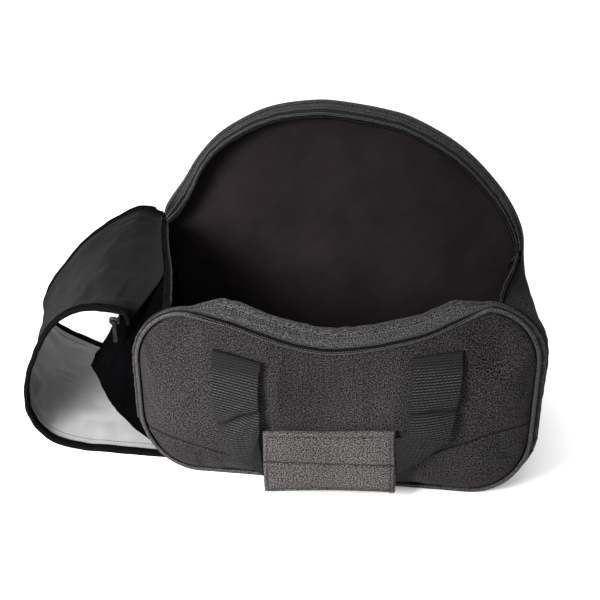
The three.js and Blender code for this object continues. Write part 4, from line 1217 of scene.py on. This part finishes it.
def strapShade(side, name):
    def shade(u, v):  # in its crease, by the grip, under its fold and along its edges
        at = creaseAt(side, name, u)
        fold = 0.95 * bell(v - at + 0.006, 0.019) + 0.7 * ease(v, 0.88, 0.97)
        under = 0.8 * (1 - ease(v, 0.44, 0.5)) * ease(v, 0.2, 0.4)
        return np.clip(fold + under + 0.35 * bell(np.minimum(u, 1 - u) * 50, 1.2), 0, 1)
    return shade


for side, name in ((-1, "left"), (1, "right")):
    strap = skin(f"strap_{name}", strapSurface(side, name), (40, 220), strapCloth,
                 [f"handle_web_{name}"], thick=handle["thick"], flip=side > 0, shade=strapShade(side, name),
                 own=True)
    strap.modifiers["thickness"].offset = 1  # away from the panel where it is sewn, into its fold where it hangs


def seamAt(gx, gz):  # distance above the grip's overlap seam, which wavers as a sewn edge does
    return gz + 0.5 + 0.03 * gx + 0.5 * np.sin(gx / 4.1) * np.sin(gx / 11.0)


def gripPoint(u, v):  # across, up, and the distance to the nearest edge
    gx, gz = mix(-1, 1, u) * handle["gripLength"] / 2, mix(-1, 1, v) * handle["gripHeight"] / 2
    return gx, gz, np.minimum(handle["gripLength"] / 2 - np.abs(gx), handle["gripHeight"] / 2 - np.abs(gz))


def gripSurface(front):
    def surface(u, v):
        # Padded cloth sleeve: a rounded slab, its edges rolled, one overlap seam across its middle
        gx, gz, edge = gripPoint(u, v)
        tilt = handle["gripTilt"]
        out = handle["gripThick"] / 2 * np.sqrt(1 - np.clip(1 - edge / 4.0, 0, 1) ** 2)
        if front:
            soft = 0.5 * ripples(gx, gz, 81, 34) * ease(edge, 0, 8)
            seam = 0.8 * ease(-seamAt(gx, gz), 0, 3) - 1.1 * bell(seamAt(gx, gz), 1.2)
            out = out + soft + seam * ease(edge, 0, 3) - 0.7 * bell(edge - 5, 1.1)
        sag = 2.2 * (1 - (2 * u - 1) ** 2) * (1 - v) ** 2 + 0.5 * np.sin(9 * u) * v
        sag = sag - 0.9 * bell(u - 1, 0.05) * (1 - v)
        x = gx - 0.25 * tilt * gz + 0.6 * np.sin(5 * v) * (2 * u - 1)
        z = gx * np.sin(tilt) + gz + handle["gripMiddle"] + sag
        middle = panelDepth(0.0, bellyHeight) - 0.6 - handle["gripThick"] / 2
        return stack(x, middle + (-out if front else out), z)
    return surface


def gripShade(u, v):  # in the overlap seam and in the sewn line round the edge
    gx, gz, edge = gripPoint(u, v)
    return np.clip(0.8 * bell(seamAt(gx, gz), 0.9) + 0.5 * bell(edge - 5, 0.8), 0, 1)


u, v = grid(150, 90)
gripFront, gripBack = gripSurface(True), gripSurface(False)
frontPlaces = gripFront(u, v)
both = np.concatenate([frontPlaces.reshape(-1, 3), gripBack(u, v).reshape(-1, 3)])
faces = np.concatenate([gridFaces(*u.shape), gridFaces(*u.shape, flip=True) + u.size])
gripUv = np.tile(runLengths(frontPlaces).reshape(-1, 2), (2, 1))
grip = makeObject("grip_sleeve", both, faces, clothGripLit, ["handle_grip"], gripUv,
                  np.concatenate([gripShade(u, v).ravel(), np.zeros(u.size)]))
grip.modifiers.new("weld", "WELD").merge_threshold = 0.05 * mm
sewnLine = np.linspace(0.035, 0.965, 120)
sew(stitches, gripFront, sewnLine, 0.065, 0.45, 0.935, off=0.1, height=0.4)
for column in (0.035, 0.965):
    sew(stitches, gripFront, column, sewnLine, off=0.1, height=0.4)
print("front handle made")


# Rear handle
def onBack(x, z, off):
    return stack(x, backDepth(z) + lid["pad"] + off, z)


def rearRows():
    # Edge points of the rear strap, outer and inner: up from one foot, over its fold, down, across,
    # and the same again to the other foot
    fold = (handle["leftFold"] + handle["rightFold"]) / 2
    off, lift = foldOver()
    edges = []
    for outward, low in ((1, handle["rearLow"]), (-1, handle["rearLow"] + handle["width"])):
        halves = []
        for side in (-1, 1):
            x = side * (handle["spacing"] + outward * handle["width"] / 2)
            halves.append(np.concatenate([onBack(x, np.linspace(handle["rearSeam"], fold, 6), sewnGap),
                                          onBack(x, fold + lift, off),
                                          onBack(x, np.linspace(fold, low, 6)[1:], hangGap)]))
        edges.append(np.concatenate([halves[0], onBack(0.0, low, hangGap)[None], halves[1][::-1]]))
    return edges


rearFlat = betweenEdges(*rearRows())


def rearSurface(u, v):  # cups a little where it hangs
    places = rearFlat(u, v)
    places[..., 1] += 0.5 * np.sin(pi * u) * ease(v, 0.3, 0.4) * (1 - ease(v, 0.6, 0.7))
    return places


skin("rear_strap", rearSurface, (36, 420), strapCloth, ["rear_handle"],
     thick=handle["thick"], own=True)
boxHalf, boxLow, boxHigh = handle["footBox"]
for side in (-1, 1):  # a sewn square with a cross holds each foot
    across = side * handle["spacing"] + boxHalf * np.array([-1, 1, 1, -1, -1, 1, -1, 1])
    up = np.array([boxLow, boxLow, boxHigh, boxHigh, boxLow, boxHigh, boxHigh, boxLow])
    x, z = takenAt(np.linspace(0, 7, 400), np.arange(8), np.stack([across, up], -1)).T
    path, normals = evenly(onBack(x, z, sewnGap + 2.2), (0.0, 1.0, 0.0), 3.4)
    stitches.append((path, np.gradient(path, axis=0), normals, 2.6, 0.7, 0.5))
print("rear handle made")


# Zip sliders and pulls
slider = {
    "halfLength": 6.2, "halfWidth": 3.9, "halfHeight": 2.2, "off": 3.1, "bridgeHalf": 3.6, "wire": 0.7,
    "tabLength": 23.6, "tabHalfWidth": 2.9, "tabHalfThick": 0.75, "tabOff": 6.7,
    "fromEnd": 13,  # from its middle to the end of its tape
}


def superellipse(halfWidths, halfHeights, sides=20):
    # A section for each row: sine and cosine raised to a power under 1, so that its corners are tight
    ring = np.arange(sides) * 2 * pi / sides
    square = lambda w: np.sign(w) * np.abs(w) ** 0.55
    across, up = np.outer(halfWidths, square(np.cos(ring))), np.outer(halfHeights, square(np.sin(ring)))
    return np.stack([across, up], -1)


def sliderPieces(name, place, away, turn):
    # Slider: a body of two plates round a bridge, its waist narrowing towards its tail; pull: a flat
    # tab with a rounded end and a narrow top, hanging straight down
    along, away = np.array([np.cos(turn), np.sin(turn), 0.0]), np.asarray(away, float)
    centre = place + away * slider["off"]
    s = np.linspace(-1, 1, 26)
    half = slider["halfWidth"] * (1 - 0.3 * ease(s, -0.2, 0.9)) * (1 - np.abs(s) ** 6) ** 0.4 + 0.2
    tall = slider["halfHeight"] * (1 - np.abs(s) ** 8) ** 0.5 * (1 - 0.25 * s**2) + 0.15
    sweep(f"{name}_body", centre + np.outer(s * slider["halfLength"], along), away,
          superellipse(half, tall), nickel, [f"{name}_slider"])
    bridge = np.linspace(0, pi, 18)
    ahead, out = slider["bridgeHalf"] * np.cos(bridge), 1.9 + 1.5 * np.sin(bridge)
    sweep(f"{name}_bridge", centre + np.outer(ahead, along) + np.outer(out, away), np.cross(along, away),
          roundSection(slider["wire"], 8), nickel)
    drop = np.linspace(0, 1, 30)
    waist = 1 - 0.25 * np.sin(pi * np.clip(drop * 1.2, 0, 1))
    foot = np.sqrt(np.clip(1 - np.clip((drop - 0.86) / 0.14, 0, 1) ** 2, 0.01, 1))
    width = slider["tabHalfWidth"] * waist * foot * np.sqrt(np.clip(drop / 0.07, 0.08, 1))
    line = place + away * slider["tabOff"] - np.outer(drop * slider["tabLength"], [0, 0, 1])
    sweep(f"{name}_tab", line, away, superellipse(width, np.full(30, slider["tabHalfThick"])), nickel,
          [f"{name}_pull"])


def loopStop(y):  # on the loop's edge, just before it is sewn
    return loopPlace(np.full(1, 0.97), np.full(1, y))[0] + [-slider["fromEnd"], 0, 1.6]


def tapeStop(fromBack):  # halfway up the right side tape
    share = 1 - fromBack / body["depth"]
    x, z = mouthCorner(1, share)
    y = mix(wallFront, wallBack, share)
    return np.array([x - 1 - mouth["tapeWidth"] * mouth["tapeLean"], y, z + mouth["tapeWidth"] / 2])


sliderPieces("end_zip_front", loopStop(loop["front"]), (0, -1, 0), 0.0)
sliderPieces("end_zip_back", loopStop(loop["back"]), (0, 1, 0), 0.0)
stop = tapeStop(mouth["tapeEnd"] + slider["fromEnd"])
ahead = stop - tapeStop(mouth["tapeEnd"] + 2 * slider["fromEnd"])
sideways = unit(np.array([-ahead[1], ahead[0], 0]))
sliderPieces("mouth_zip", stop, sideways, np.arctan2(ahead[1], ahead[0]))

beads("seam_stitches", stitches, threadDark)
beads("pale_stitches", paleStitches, threadPale)
beads("zip_teeth", teeth, coilBlack)
print("zips and stitches made")

# Floor, light and camera
studio = {"key": 5.5, "top": 14, "back": 4, "world": 1.15, "floor": 0.95, "reach": 9.0, "bend": 2.0}
ground = Nodes("pale_floor", 0.9, specular=0.1)
grain = ground.noise(ground.place(), 3.0, 2.0)
grain = ground.ramp(grain, [(0.3, studio["floor"]), (0.7, studio["floor"] + 0.02)])
ground.feed(ground.shader.inputs["Base Color"], grain)
turn = np.linspace(0, pi / 2, 24)  # flat floor, a quarter round behind the bag, and a wall, all in metres
floorY = np.concatenate([[-6.0], 1.6 + studio["bend"] * np.sin(turn), [1.6 + studio["bend"]]])
floorZ = np.concatenate([[0.0], studio["bend"] * (1 - np.cos(turn)), [7.0]]) - 0.0005
places = np.concatenate([stack(-studio["reach"], floorY, floorZ), stack(studio["reach"], floorY, floorZ)])
mesh = bpy.data.meshes.new("studio_floor")
mesh.from_pydata(places.tolist(), [], gridFaces(2, len(floorY), flip=True).tolist())
mesh.polygons.foreach_set("use_smooth", np.ones(len(mesh.polygons), bool))
mesh.materials.append(ground.material)
floor = bpy.data.objects.new("studio_floor", mesh)
bpy.context.scene.collection.objects.link(floor)

world = bpy.data.worlds.new("studio")
world.use_nodes = True
world.node_tree.nodes["Background"].inputs["Color"].default_value = (1, 1, 1, 1)
world.node_tree.nodes["Background"].inputs["Strength"].default_value = studio["world"]
bpy.context.scene.world = world
bpy.context.scene.view_settings.view_transform = "Standard"


def lamp(name, place, target, size, power, colour=(1, 1, 1), spread=180):
    light = bpy.data.lights.new(name, "AREA")
    light.spread = np.radians(spread)
    light.shape, light.energy, light.color = "RECTANGLE", power, colour
    light.size, light.size_y = size
    source = bpy.data.objects.new(name, light)
    source.location = place
    source.rotation_mode = "QUATERNION"
    source.rotation_quaternion = (Vector(target) - Vector(place)).to_track_quat("-Z", "Y")
    bpy.context.scene.collection.objects.link(source)


lamp("key", (-0.62, -0.82, 0.52), (-0.21, -0.1, 0.09), (0.45, 0.45), studio["key"], (1.0, 0.97, 0.94),
     spread=60)
lamp("top", (0.1, 0.3, 2.2), (0, 0, 0.1), (1.6, 1.6), studio["top"])
lamp("rim", (-0.6, 1.9, 1.3), (0, 0, 0.2), (1.2, 0.8), studio["back"])

view = {"azimuth": 7.5, "elevation": 28.0, "distance": 1.28, "target": (-0.0485, -0.010, 0.160), "lens": 70.0}
azimuth, elevation = np.radians(view["azimuth"]), np.radians(view["elevation"])
away = np.array([np.sin(azimuth) * np.cos(elevation), -np.cos(azimuth) * np.cos(elevation), np.sin(elevation)])
camera = bpy.data.objects.new("camera", bpy.data.cameras.new("camera"))
camera.data.lens, camera.data.sensor_width = view["lens"], 36.0
camera.location = Vector(np.array(view["target"]) + away * view["distance"])
camera.rotation_mode = "QUATERNION"
camera.rotation_quaternion = Vector(-away).to_track_quat("-Z", "Y")
bpy.context.scene.collection.objects.link(camera)
bpy.context.scene.camera = camera
print("studio made")
